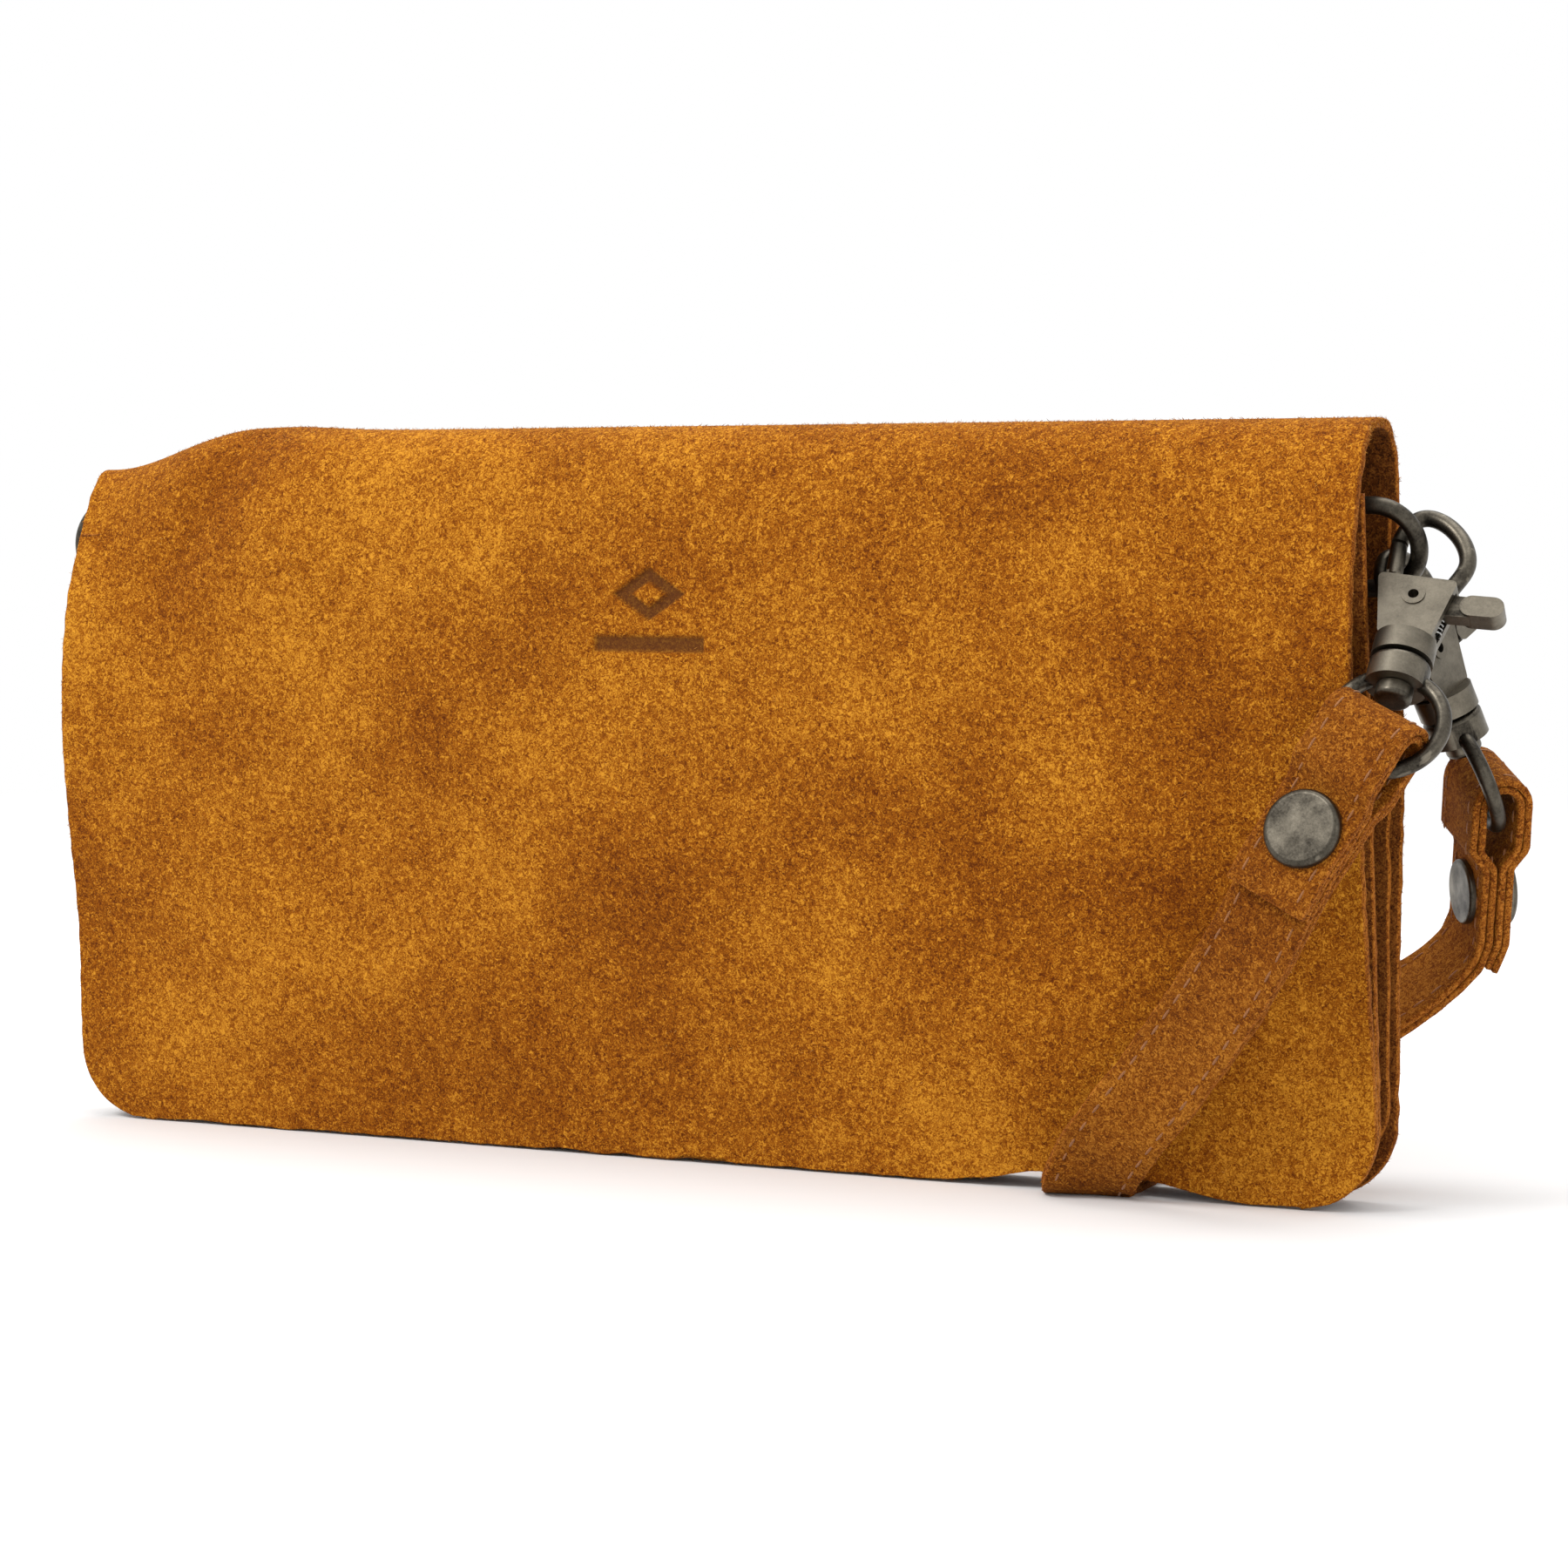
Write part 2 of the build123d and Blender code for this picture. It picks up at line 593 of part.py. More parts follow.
stack = 2 * (end_offset + mid_offset + ply / 2)
with BuildPart() as rivet_cap:
    with BuildSketch(Plane.XY.offset(0.1)):
        Circle(rivet_cap_radius)
    extrude(amount=rivet_cap_thickness)
    fillet(rivet_cap.edges().sort_by(Axis.Z)[-1], 0.9)
    with BuildSketch(Plane.XY.offset(0.1)):
        Circle(rivet_shaft_radius)
    extrude(amount=-stack - 0.2)
with BuildPart() as rivet_base:
    with BuildSketch(Plane.XY.offset(-stack - 0.1)):
        Circle(rivet_cap_radius - 0.8)
    extrude(amount=-1.0)
    fillet(rivet_base.edges().sort_by(Axis.Z)[0], 0.5)
with BuildPart() as rivet_hole:
    with BuildSketch(Plane.XY.offset(4)):
        Circle(rivet_shaft_radius)
    extrude(amount=-stack - 8)

for name, offset in (("strap_outer_layer", mid_offset), ("strap_inner_layer", -mid_offset)):
    with BuildPart() as layer:
        add(ribbon(stations, offset))
        for plane in rivet_spots:
            add(rivet_hole.part.moved(plane.location), mode=Mode.SUBTRACT)
    finish(layer.part, name)
for side, plane in zip(("front", "rear"), rivet_spots):
    finish(rivet_cap.part.moved(plane.location), f"rivet_cap_{side}")
    finish(rivet_base.part.moved(plane.location), f"rivet_base_{side}")
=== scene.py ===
import json
import math

import bpy
import numpy as np
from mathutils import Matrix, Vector


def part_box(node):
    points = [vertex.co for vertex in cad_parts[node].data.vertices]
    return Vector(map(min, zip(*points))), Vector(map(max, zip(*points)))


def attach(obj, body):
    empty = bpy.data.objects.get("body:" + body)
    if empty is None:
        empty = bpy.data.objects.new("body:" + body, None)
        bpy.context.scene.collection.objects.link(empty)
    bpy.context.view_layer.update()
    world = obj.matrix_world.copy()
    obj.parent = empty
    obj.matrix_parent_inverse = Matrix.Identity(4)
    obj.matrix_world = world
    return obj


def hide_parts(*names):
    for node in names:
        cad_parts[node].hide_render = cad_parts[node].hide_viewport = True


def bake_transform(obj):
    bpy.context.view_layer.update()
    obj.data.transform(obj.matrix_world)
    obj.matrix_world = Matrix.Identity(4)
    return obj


# A suede fold-over wristlet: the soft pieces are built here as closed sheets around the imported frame,
# and the metal pieces are the frame's own. Lengths are millimetres until a mesh is made.

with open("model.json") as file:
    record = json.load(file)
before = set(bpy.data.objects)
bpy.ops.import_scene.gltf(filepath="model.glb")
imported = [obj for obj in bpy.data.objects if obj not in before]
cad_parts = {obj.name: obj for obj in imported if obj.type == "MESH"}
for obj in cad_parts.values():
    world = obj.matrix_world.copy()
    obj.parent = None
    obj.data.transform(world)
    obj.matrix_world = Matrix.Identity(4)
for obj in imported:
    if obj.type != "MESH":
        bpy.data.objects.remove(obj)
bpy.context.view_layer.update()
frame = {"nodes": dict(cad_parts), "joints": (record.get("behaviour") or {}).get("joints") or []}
MM = 0.001
joints = {joint["name"]: joint for joint in frame["joints"]}

# ---------------------------------------------------------------- sizes from the frame
back_low, back_high = (np.array(corner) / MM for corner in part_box("back_panel"))
flap_low = np.array(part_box("flap_panel")[0]) / MM
front_low, front_high = (np.array(corner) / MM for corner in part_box("front_panel"))
HEIGHT = back_high[2]
BOTTOM = back_low[2]
WIDE = back_high[0]                 # half the width at the bottom
NARROW = WIDE - 2.5                 # half the width at the fold
SUEDE = 1.6
CORNER = 12.0                       # radius of the lower corners
PANEL_GAP = 0.1                     # between sheets that lie against each other
LEAN_TOP = 105.0                    # the panels reach their top depths at this height
FOLD_TOP = HEIGHT - SUEDE / 2       # middle of the suede at the top of the fold
SAG_START, SAG_FULL = 58, 117       # heights between which the pieces take up the fold's sag
LIFT_FULL, LIFT_END = 2, 34         # the hem's rise over the strap fades out between these heights
BACK_INSET = 0.1                    # the back stays this far inside the CAD panel's outer face
BACK_TOP_Y = back_high[1] - BACK_INSET - SUEDE / 2
BACK_BOTTOM_Y = 5.5 - SUEDE / 2
FLAP_Y = flap_low[1] + SUEDE / 2    # middle of the flap where it stands out most
FRONT_BOTTOM_Y = -3.7 + SUEDE / 2
FRONT_TOP_Y = front_low[1] + SUEDE / 2
HEM = 0.5                           # the shell's lower edges clear the floor by this
STRAP_X = 71.0                      # the strap lies under the bag here


# ---------------------------------------------------------------- geometry helpers
def unit(vectors):
    return vectors / np.linalg.norm(vectors, axis=-1, keepdims=True)


def smooth(value, low, high):
    """0 below low, 1 above high, smooth between them."""
    share = np.clip((np.asarray(value, float) - low) / (high - low), 0, 1)
    return share * share * (3 - 2 * share)


def bump(value, centre, spread):
    """1 at the centre, falling to 0 over a few spreads."""
    return np.exp(-((np.asarray(value, float) - centre) / spread) ** 2)


def bezier(a, b, c, d, steps):
    t = np.linspace(0, 1, steps)[:, None]
    a, b, c, d = (np.array(p, float) for p in (a, b, c, d))
    return (1 - t) ** 3 * a + 3 * (1 - t) ** 2 * t * b + 3 * (1 - t) * t * t * c + t ** 3 * d


def resample(path, marks):
    """Points of a path at given distances along it."""
    steps = np.linalg.norm(np.diff(path, axis=0), axis=1)
    along = np.concatenate([[0], np.cumsum(steps)])
    return np.stack([np.interp(marks, along, path[:, k]) for k in range(path.shape[1])], axis=1)


def length_of(path):
    return float(np.linalg.norm(np.diff(path, axis=0), axis=1).sum())


def spread_marks(low, high, coarse, zones):
    """Rising marks from low to high, `coarse` apart, and finer inside each (start, end, fine) zone."""
    marks = [low]
    while marks[-1] < high:
        step = coarse
        for start, end, fine in zones:
            if start <= marks[-1] < end:
                step = fine
            elif marks[-1] < start < marks[-1] + step:
                step = max(fine, start - marks[-1])
        marks.append(marks[-1] + step)
    marks[-1] = high
    if marks[-1] - marks[-2] < 0.3 * (marks[-2] - marks[-3]):
        del marks[-2]
    return np.array(marks)


def ripple(a, b, scale, seed):
    """A smooth, fixed unevenness between about -1 and 1, with features about `scale` long."""
    draws = np.random.default_rng(seed)
    total = np.zeros(np.broadcast(a, b).shape)
    for _ in range(7):
        heading = draws.uniform(0, 2 * math.pi)
        wave = 2 * math.pi / (scale * draws.uniform(0.8, 2.2))
        phase = draws.uniform(0, 2 * math.pi)
        total += np.sin(wave * (a * math.cos(heading) + b * math.sin(heading)) + phase)
    return total / 3.2


def grid_normals(points):
    return unit(np.cross(np.gradient(points, axis=1), np.gradient(points, axis=0)))


def build_mesh(name, points, faces, look, face_looks=None, extra_looks=()):
    """A mesh object from points in millimetres. Each point keeps its place at rest as an attribute."""
    mesh = bpy.data.meshes.new(name)
    mesh.from_pydata((np.asarray(points) * MM).tolist(), [], faces)
    for made in (look, *extra_looks):
        mesh.materials.append(made)
    if face_looks is not None:
        mesh.polygons.foreach_set("material_index", face_looks)
    mesh.polygons.foreach_set("use_smooth", [True] * len(mesh.polygons))
    rest = mesh.attributes.new("rest", "FLOAT_VECTOR", "POINT")
    rest.data.foreach_set("vector", (np.asarray(points, np.float32)).ravel())
    mesh.update()
    piece = bpy.data.objects.new(name, mesh)
    bpy.context.scene.collection.objects.link(piece)
    return piece


def sheet(name, middle, thickness, look, rim, chamfer=0.25, relief=None, inner_look=None):
    """A closed sheet around a grid of points on its middle surface. Its cut edge is chamfered.

    `relief` sinks the points of the outer face by that many millimetres. `inner_look` is the look of
    the other face, where it isn't the same."""
    rows, columns = middle.shape[:2]
    normals = grid_normals(middle)
    inset = middle.copy()
    inset[0] += chamfer * unit(middle[1] - middle[0])
    inset[-1] += chamfer * unit(middle[-2] - middle[-1])
    inset[:, 0] += chamfer * unit(middle[:, 1] - middle[:, 0])
    inset[:, -1] += chamfer * unit(middle[:, -2] - middle[:, -1])
    sunk = np.zeros((rows, columns)) if relief is None else relief
    outer = inset + normals * (thickness / 2 - sunk)[..., None]
    inner = inset - normals * thickness / 2
    border = [(0, j) for j in range(columns)] + [(i, columns - 1) for i in range(1, rows)]
    border += [(rows - 1, j) for j in range(columns - 2, -1, -1)] + [(i, 0) for i in range(rows - 2, 0, -1)]
    at = tuple(np.array(border).T)
    ledge = thickness / 2 - chamfer
    upper_ring = middle[at] + normals[at] * ledge
    lower_ring = middle[at] - normals[at] * ledge
    points = np.concatenate([outer.reshape(-1, 3), inner.reshape(-1, 3), upper_ring, lower_ring])
    count = rows * columns
    index = np.arange(count).reshape(rows, columns)
    quads = np.stack([index[:-1, :-1], index[:-1, 1:], index[1:, 1:], index[1:, :-1]], axis=-1).reshape(-1, 4)
    loops = [index[at], 2 * count + np.arange(len(border)), 2 * count + len(border) + np.arange(len(border)),
             count + index[at]]
    rim_quads = []
    for first, second in zip(loops, loops[1:]):
        rim_quads.append(np.stack([np.roll(first, -1), first, second, np.roll(second, -1)], axis=-1))
    rim_quads = np.concatenate(rim_quads)
    faces = np.concatenate([quads, quads[:, ::-1] + count, rim_quads]).tolist()
    inner_slot = 0 if inner_look is None else 2
    looks = [0] * len(quads) + [inner_slot] * len(quads) + [1] * len(rim_quads)
    return build_mesh(name, points, faces, look, looks, (rim,) if inner_look is None else (rim, inner_look))


def tube_stitches(name, spots, headings, normals, look, length=2.3, thick=0.42):
    """Short rounded thread stitches, each lying along its heading and half sunk in the leather."""
    profile = [(-0.5, 0.0), (-0.46, 0.55), (-0.3, 0.95), (0.0, 1.0), (0.3, 0.95), (0.46, 0.55), (0.5, 0.0)]
    sides = 6
    points, faces = [], []
    for spot, heading, normal in zip(spots, headings, normals):
        heading = heading / np.linalg.norm(heading)
        across = np.cross(normal, heading)
        across = across / np.linalg.norm(across)
        up = np.cross(heading, across)
        base = len(points)
        for place, width in profile[1:-1]:
            sink = 0.25 * thick * (1 - (2 * place) ** 2)
            radius = thick / 2 * width
            for side in range(sides):
                turn = 2 * math.pi * side / sides
                points.append(spot + heading * place * length + up * (sink + radius * math.sin(turn))
                              + across * radius * math.cos(turn))
        rings = len(profile) - 2
        for ring in range(rings - 1):
            for side in range(sides):
                a = base + ring * sides + side
                b = base + ring * sides + (side + 1) % sides
                faces.append((a, b, b + sides, a + sides))
        first, last = len(points), len(points) + 1
        points.append(spot - heading * length / 2)
        points.append(spot + heading * length / 2)
        end = base + (rings - 1) * sides
        for side in range(sides):
            faces.append((base + (side + 1) % sides, base + side, first))
            faces.append((end + side, end + (side + 1) % sides, last))
    return build_mesh(name, points, faces, look)


# ---------------------------------------------------------------- materials
def linear(red, green, blue):
    """Linear colour from 0-255 screen values."""
    values = [v / 255 for v in (red, green, blue)]
    return tuple(v / 12.92 if v <= 0.04045 else ((v + 0.055) / 1.055) ** 2.4 for v in values) + (1.0,)


class Nodes:
    """A small helper that adds and joins shader nodes of one material."""

    def __init__(self, name):
        self.material = bpy.data.materials.new(name)
        self.material.use_nodes = True
        self.tree = self.material.node_tree
        self.shader = self.tree.nodes["Principled BSDF"]

    def add(self, kind, inputs=None, **settings):
        node = self.tree.nodes.new(kind)
        for key, value in settings.items():
            setattr(node, key, value)
        for key, value in (inputs or {}).items():
            self.set(node.inputs[key], value)
        return node

    def set(self, socket, value):
        if isinstance(value, bpy.types.NodeSocket):
            self.tree.links.new(value, socket)
        else:
            socket.default_value = value

    def place(self, attribute=True):
        """Coordinates at rest, in millimetres. The frame's own pieces have no attribute for them."""
        if attribute:
            source = self.add("ShaderNodeAttribute", attribute_name="rest").outputs["Vector"]
            scale = 1.0
        else:
            source = self.add("ShaderNodeTexCoord").outputs["Object"]
            scale = 1.0 / MM
        return self.add("ShaderNodeVectorMath", {0: source, "Scale": scale}, operation="SCALE").outputs[0]

    def noise(self, vector, size, detail=2.0, roughness=0.5, distortion=0.0):
        """Noise whose features are about `size` millimetres long."""
        inputs = {"Vector": vector, "Scale": 1.0 / size, "Detail": detail, "Roughness": roughness,
                  "Distortion": distortion}
        return self.add("ShaderNodeTexNoise", inputs).outputs["Fac"]

    def math(self, operation, a, b=0.0):
        return self.add("ShaderNodeMath", {0: a, 1: b}, operation=operation).outputs[0]

    def remap(self, value, low, high, to_low=0.0, to_high=1.0):
        return self.add("ShaderNodeMapRange", {"Value": value, "From Min": low, "From Max": high,
                                               "To Min": to_low, "To Max": to_high}).outputs[0]

    def ramp(self, value, *stops):
        node = self.add("ShaderNodeValToRGB", {"Fac": value})
        while len(node.color_ramp.elements) < len(stops):
            node.color_ramp.elements.new(0.5)
        for element, (position, colour) in zip(node.color_ramp.elements, stops):
            element.position = position
            element.color = colour
        return node.outputs["Color"]

    def mix(self, share, a, b):
        node = self.add("ShaderNodeMix", data_type="RGBA")
        self.set(node.inputs[0], share)
        self.set(node.inputs[6], a)
        self.set(node.inputs[7], b)
        return node.outputs[2]

    def finish(self, **values):
        for key, value in values.items():
            self.set(self.shader.inputs[key.replace("_", " ")], value)
        return self.material

    def bump(self, height, strength, distance):
        return self.add("ShaderNodeBump", {"Height": height, "Strength": strength,
                                           "Distance": distance * MM}).outputs["Normal"]


def make_suede(name, dark, middle, light, nap=1.0, sheen=0.22, mark=False):
    """Brushed suede: broad clouds where the nap lies differently, then clumps, then single fibres."""
    n = Nodes(name)
    place = n.place()
    cloud = n.noise(place, 34.0, 2.0, 0.5, 0.3)
    patch = n.noise(place, 9.0, 2.0, 0.5, 0.5)
    clump = n.noise(place, 1.5, 2.0, 0.6, 1.0)
    fibre = n.noise(place, 0.55, 2.0, 0.65, 1.6)
    tone = n.math("MULTIPLY", n.math("SUBTRACT", cloud, 0.5), 0.85)
    tone = n.math("ADD", tone, n.math("MULTIPLY", n.math("SUBTRACT", patch, 0.5), 0.25))
    tone = n.math("ADD", tone, n.math("MULTIPLY", n.math("SUBTRACT", clump, 0.5), 0.7 * nap))
    tone = n.math("ADD", tone, n.math("MULTIPLY", n.math("SUBTRACT", fibre, 0.5), 2.3 * nap))
    tone = n.math("ADD", tone, 0.5)
    colour = n.ramp(tone, (0.05, dark), (0.5, middle), (0.95, light))
    height = n.math("ADD", n.math("MULTIPLY", clump, 0.5), fibre)
    if mark:
        pressed = n.add("ShaderNodeAttribute", attribute_name="pressed").outputs["Fac"]
        colour = n.mix(n.math("MULTIPLY", pressed, 0.82), colour, linear(74, 41, 18))
        height = n.math("MULTIPLY", height, n.remap(pressed, 0.0, 1.0, 1.0, 0.35))
    return n.finish(Base_Color=colour, Roughness=0.93, Specular_IOR_Level=0.12, Sheen_Weight=sheen,
                    Sheen_Roughness=0.4, Sheen_Tint=light, Normal=n.bump(height, 0.75, 0.28 * nap))


def make_weave(name, dark, light, pitch, roughness=0.85):
    """Plain woven cloth: warp and weft threads, with slight unevenness."""
    n = Nodes(name)
    place = n.place()
    parts = n.add("ShaderNodeSeparateXYZ", {0: place})
    wobble = n.noise(place, 3.0, 2.0)
    turn = 2 * math.pi / pitch
    across = n.math("SINE", n.math("ADD", n.math("MULTIPLY", parts.outputs[0], turn), wobble))
    # height runs up a hanging cloth or along the depth of a lying one
    upward = n.math("ADD", parts.outputs[1], parts.outputs[2])
    up = n.math("SINE", n.math("ADD", n.math("MULTIPLY", upward, turn), wobble))
    threads = n.math("MULTIPLY", across, up)
    height = n.remap(threads, -1.0, 1.0)
    worn = n.noise(place, 9.0, 3.0)
    tone = n.math("ADD", n.math("MULTIPLY", height, 0.5), n.math("MULTIPLY", worn, 0.5))
    return n.finish(Base_Color=n.ramp(tone, (0.2, dark), (0.8, light)), Roughness=roughness,
                    Sheen_Weight=0.15, Normal=n.bump(height, 0.5, 0.12))


def make_metal(name, dark, light, roughness, wear=1.0):
    """Aged plated metal: dark in the hollows, rubbed brighter on the edges, finely pitted."""
    n = Nodes(name)
    place = n.place(attribute=False)
    cloud = n.noise(place, 3.5, 4.0, 0.6)
    pits = n.noise(place, 0.35, 3.0, 0.7)
    pointed = n.add("ShaderNodeNewGeometry").outputs["Pointiness"]
    edges = n.remap(pointed, 0.5, 0.56)
    tone = n.math("ADD", n.math("MULTIPLY", cloud, 0.75), n.math("MULTIPLY", edges, 0.35 * wear))
    tone = n.math("ADD", tone, n.math("MULTIPLY", n.math("SUBTRACT", pits, 0.5), 0.35))
    colour = n.ramp(tone, (0.25, dark), (0.85, light))
    rough = n.remap(cloud, 0.3, 0.7, roughness + 0.1, roughness - 0.06)
    return n.finish(Base_Color=colour, Metallic=1.0, Roughness=rough, Normal=n.bump(pits, 0.25, 0.03))


def make_thread(name, dark, light):
    """Twisted sewing thread."""
    n = Nodes(name)
    place = n.place()
    twist = n.noise(place, 0.35, 2.0, 0.6, 1.0)
    return n.finish(Base_Color=n.ramp(twist, (0.3, dark), (0.7, light)), Roughness=0.7, Sheen_Weight=0.2,
                    Normal=n.bump(twist, 0.5, 0.08))


suede = make_suede("suede_nap", linear(84, 36, 0), linear(138, 75, 4), linear(198, 134, 36),
                   sheen=0.18, mark=True)
strap_suede = make_suede("strap_suede_nap", linear(72, 31, 1), linear(118, 62, 5), linear(170, 110, 34),
                         sheen=0.14)
suede_rim = make_suede("suede_cut_edge", linear(84, 38, 5), linear(128, 68, 14), linear(176, 110, 38),
                       nap=1.3, sheen=0.2)
# inner face of the suede, also used on the front panel, divider, pockets, gussets and magnet patch: the flesh
# side's own duller tone, darkened further with painted shade for the inside of the fold and the gaps between
# the panels
suede_inside_and_painted_shade = make_suede("suede_inner_face_and_painted_shade", linear(56, 24, 4), linear(98, 50, 12), linear(140, 84, 30),
                          nap=1.2, sheen=0.12)
lining_cloth = make_weave("lining_cotton", linear(128, 104, 78), linear(176, 150, 118), 0.7)
tape_cloth = make_weave("zip_tape_weave", linear(94, 58, 26), linear(150, 100, 52), 0.9)
gunmetal = make_metal("aged_gunmetal", linear(34, 31, 27), linear(118, 111, 98), 0.38)
zip_metal = make_metal("aged_zip_metal", linear(70, 52, 30), linear(150, 122, 80), 0.36)
spring_steel = make_metal("spring_wire", linear(110, 110, 108), linear(190, 190, 186), 0.3, wear=0.4)
magnet_metal = make_metal("nickel_plate", linear(140, 138, 132), linear(205, 203, 196), 0.25, wear=0.4)
thread = make_thread("tan_thread", linear(104, 58, 14), linear(158, 98, 38))

for node_name, node in frame["nodes"].items():
    look = gunmetal
    if node_name.startswith("zip_"):
        look = zip_metal
    elif node_name.startswith("trigger_spring"):
        look = spring_steel
    elif "magnet" in node_name:
        look = magnet_metal
    if not node.material_slots:
        node.data.materials.append(look)
    for material_slot in node.material_slots:
        material_slot.material = look


def make_fibre():
    """Loose fibres that stand up from the nap."""
    n = Nodes("suede_fibre")
    tone = n.add("ShaderNodeAttribute", attribute_name="tone").outputs["Fac"]
    colour = n.ramp(tone, (0.0, linear(110, 56, 8)), (0.6, linear(176, 108, 26)), (1.0, linear(214, 158, 80)))
    return n.finish(Base_Color=colour, Roughness=0.85, Specular_IOR_Level=0.1)


fibre_look = make_fibre()


NEEDLE_POINTS = 7                   # three at the root, three halfway, and the tip


def fuzz(piece, count, seed, length=0.9, thick=0.09, face_share=0.12):
    """Loose bent fibres on a sheet, closest along its cut edges. Each one is a thin closed needle."""
    draws = np.random.default_rng(seed)
    mesh = piece.data
    total = len(mesh.polygons)
    centres, normals = np.zeros(total * 3, np.float32), np.zeros(total * 3, np.float32)
    areas, looks = np.zeros(total, np.float32), np.zeros(total, np.int32)
    mesh.polygons.foreach_get("center", centres)
    mesh.polygons.foreach_get("normal", normals)
    mesh.polygons.foreach_get("area", areas)
    mesh.polygons.foreach_get("material_index", looks)
    centres, normals = centres.reshape(-1, 3) / MM, normals.reshape(-1, 3)
    share = areas.astype(float) * np.where(looks == 1, 1.0, np.where(looks == 0, face_share, 0.0))
    share = share * (1 + 6 * smooth(centres[:, 2], HEIGHT - 6, HEIGHT - 1))
    picked = draws.choice(total, count, p=share / share.sum())
    normal = normals[picked]
    drift = draws.normal(size=(count, 3))
    drift = unit(drift - normal * (drift * normal).sum(axis=1, keepdims=True))
    reach = np.sqrt(areas[picked])[:, None] / MM * draws.uniform(-0.5, 0.5, (count, 1))
    root = centres[picked] + np.cross(normal, drift) * reach - normal * 0.05
    size = length * draws.uniform(0.35, 1.0, (count, 1))
    rise = draws.uniform(0.25, 0.9, (count, 1))
    heading = unit(normal * rise + drift)
    middle = root + heading * size * 0.5
    tip = middle + unit(heading + 0.7 * draws.normal(size=(count, 3))) * size * 0.5
    sides = unit(np.cross(heading, normal))
    other = np.cross(heading, sides)
    points = np.zeros((count, NEEDLE_POINTS, 3))
    for k in range(3):
        turn = 2 * math.pi * k / 3
        aside = (sides * math.cos(turn) + other * math.sin(turn)) * thick / 2
        points[:, k] = root + aside
        points[:, 3 + k] = middle + aside * 0.8
    points[:, 6] = tip
    points = points[points[..., 2].min(axis=1) > 0.05]      # none goes through the floor
    count = len(points)
    base = (np.arange(count) * NEEDLE_POINTS)[:, None]
    quads = [(k, (k + 1) % 3, 3 + (k + 1) % 3, 3 + k) for k in range(3)]
    tips = [(3 + k, 3 + (k + 1) % 3, 6) for k in range(3)]
    faces = []
    for corners in (*quads, *tips, (2, 1, 0)):
        faces.extend((base + np.array(corners)).tolist())
    fibres = build_mesh(piece.name + "_fibres", points.reshape(-1, 3), faces, fibre_look)
    tones = np.repeat(draws.uniform(0, 1, count), NEEDLE_POINTS).astype(np.float32)
    fibres.data.attributes.new("tone", "FLOAT", "POINT").data.foreach_set("value", tones)
    return fibres


# ---------------------------------------------------------------- the bag's outline and faces
def half_width(z):
    return WIDE - (WIDE - NARROW) * (z - BOTTOM) / (HEIGHT - BOTTOM)


def corner_cut(rise):
    """How far a panel's side steps in at this height above its lower edge, for the rounded corner."""
    short = np.clip(CORNER - rise, 0, CORNER)
    return CORNER - np.sqrt(CORNER ** 2 - short ** 2)


def back_middle(z):
    return BACK_BOTTOM_Y + (BACK_TOP_Y - BACK_BOTTOM_Y) * (z - BOTTOM) / (LEAN_TOP - BOTTOM)


def front_middle(z):
    """Middle of the front panel. Near the bottom it turns back to meet the back panel."""
    lean = FRONT_BOTTOM_Y + (FRONT_TOP_Y - FRONT_BOTTOM_Y) * (z - BOTTOM) / (LEAN_TOP - BOTTOM) + 0.35
    seam = back_middle(z) - SUEDE - PANEL_GAP
    return lean + (seam - lean) * (1 - smooth(z, 0, 11))


def crest(x):
    """How far the fold stands above or below its nominal height: it sags at the left end."""
    return 0.05 + 0.75 * bump(x, -76, 12) - 6.3 * (1 - smooth(x, -113, -83))


def hem_lift(x):
    """The lower edge rides up over the strap that lies under the bag."""
    return 2.4 * (1 - smooth(abs(x - STRAP_X), 8.5, 24))


# ---------------------------------------------------------------- shell: back panel, fold and flap
MARK_X, MARK_Z, MARK_DEPTH = -2.0, 89.5, 0.6
shell_path = np.concatenate([
    np.stack([back_middle(np.linspace(HEM, 104, 60)), np.linspace(HEM, 104, 60)], axis=1),
    bezier((BACK_TOP_Y, 104), (BACK_TOP_Y + 0.4, 113), (7.1, FOLD_TOP), (1, FOLD_TOP), 40)[1:],
    bezier((-1, FOLD_TOP), (-9.4, FOLD_TOP), (FLAP_Y + 0.2, 109), (FLAP_Y, 86), 60),
    bezier((FLAP_Y, 86), (FLAP_Y - 0.3, 58), (-7.4, 28), (-5.4, HEM), 60)[1:],
])
shell_length = length_of(shell_path)
crest_at = length_of(shell_path[:100])
mark_at = shell_length - (MARK_Z - HEM) - 1.2
row_marks = spread_marks(0, shell_length, 1.9, [
    (0, 14, 0.6), (crest_at - 14, crest_at + 16, 0.9), (mark_at - 9, mark_at + 9, 0.4),
    (shell_length - 14, shell_length, 0.6)])
profile = resample(shell_path, row_marks)
rise = np.minimum(row_marks, shell_length - row_marks)
column_marks = spread_marks(-WIDE, WIDE, 1.9, [
    (-WIDE, -WIDE + 4, 0.8), (MARK_X - 12.5, MARK_X + 12.5, 0.42), (WIDE - 4, WIDE, 0.8)]) / WIDE


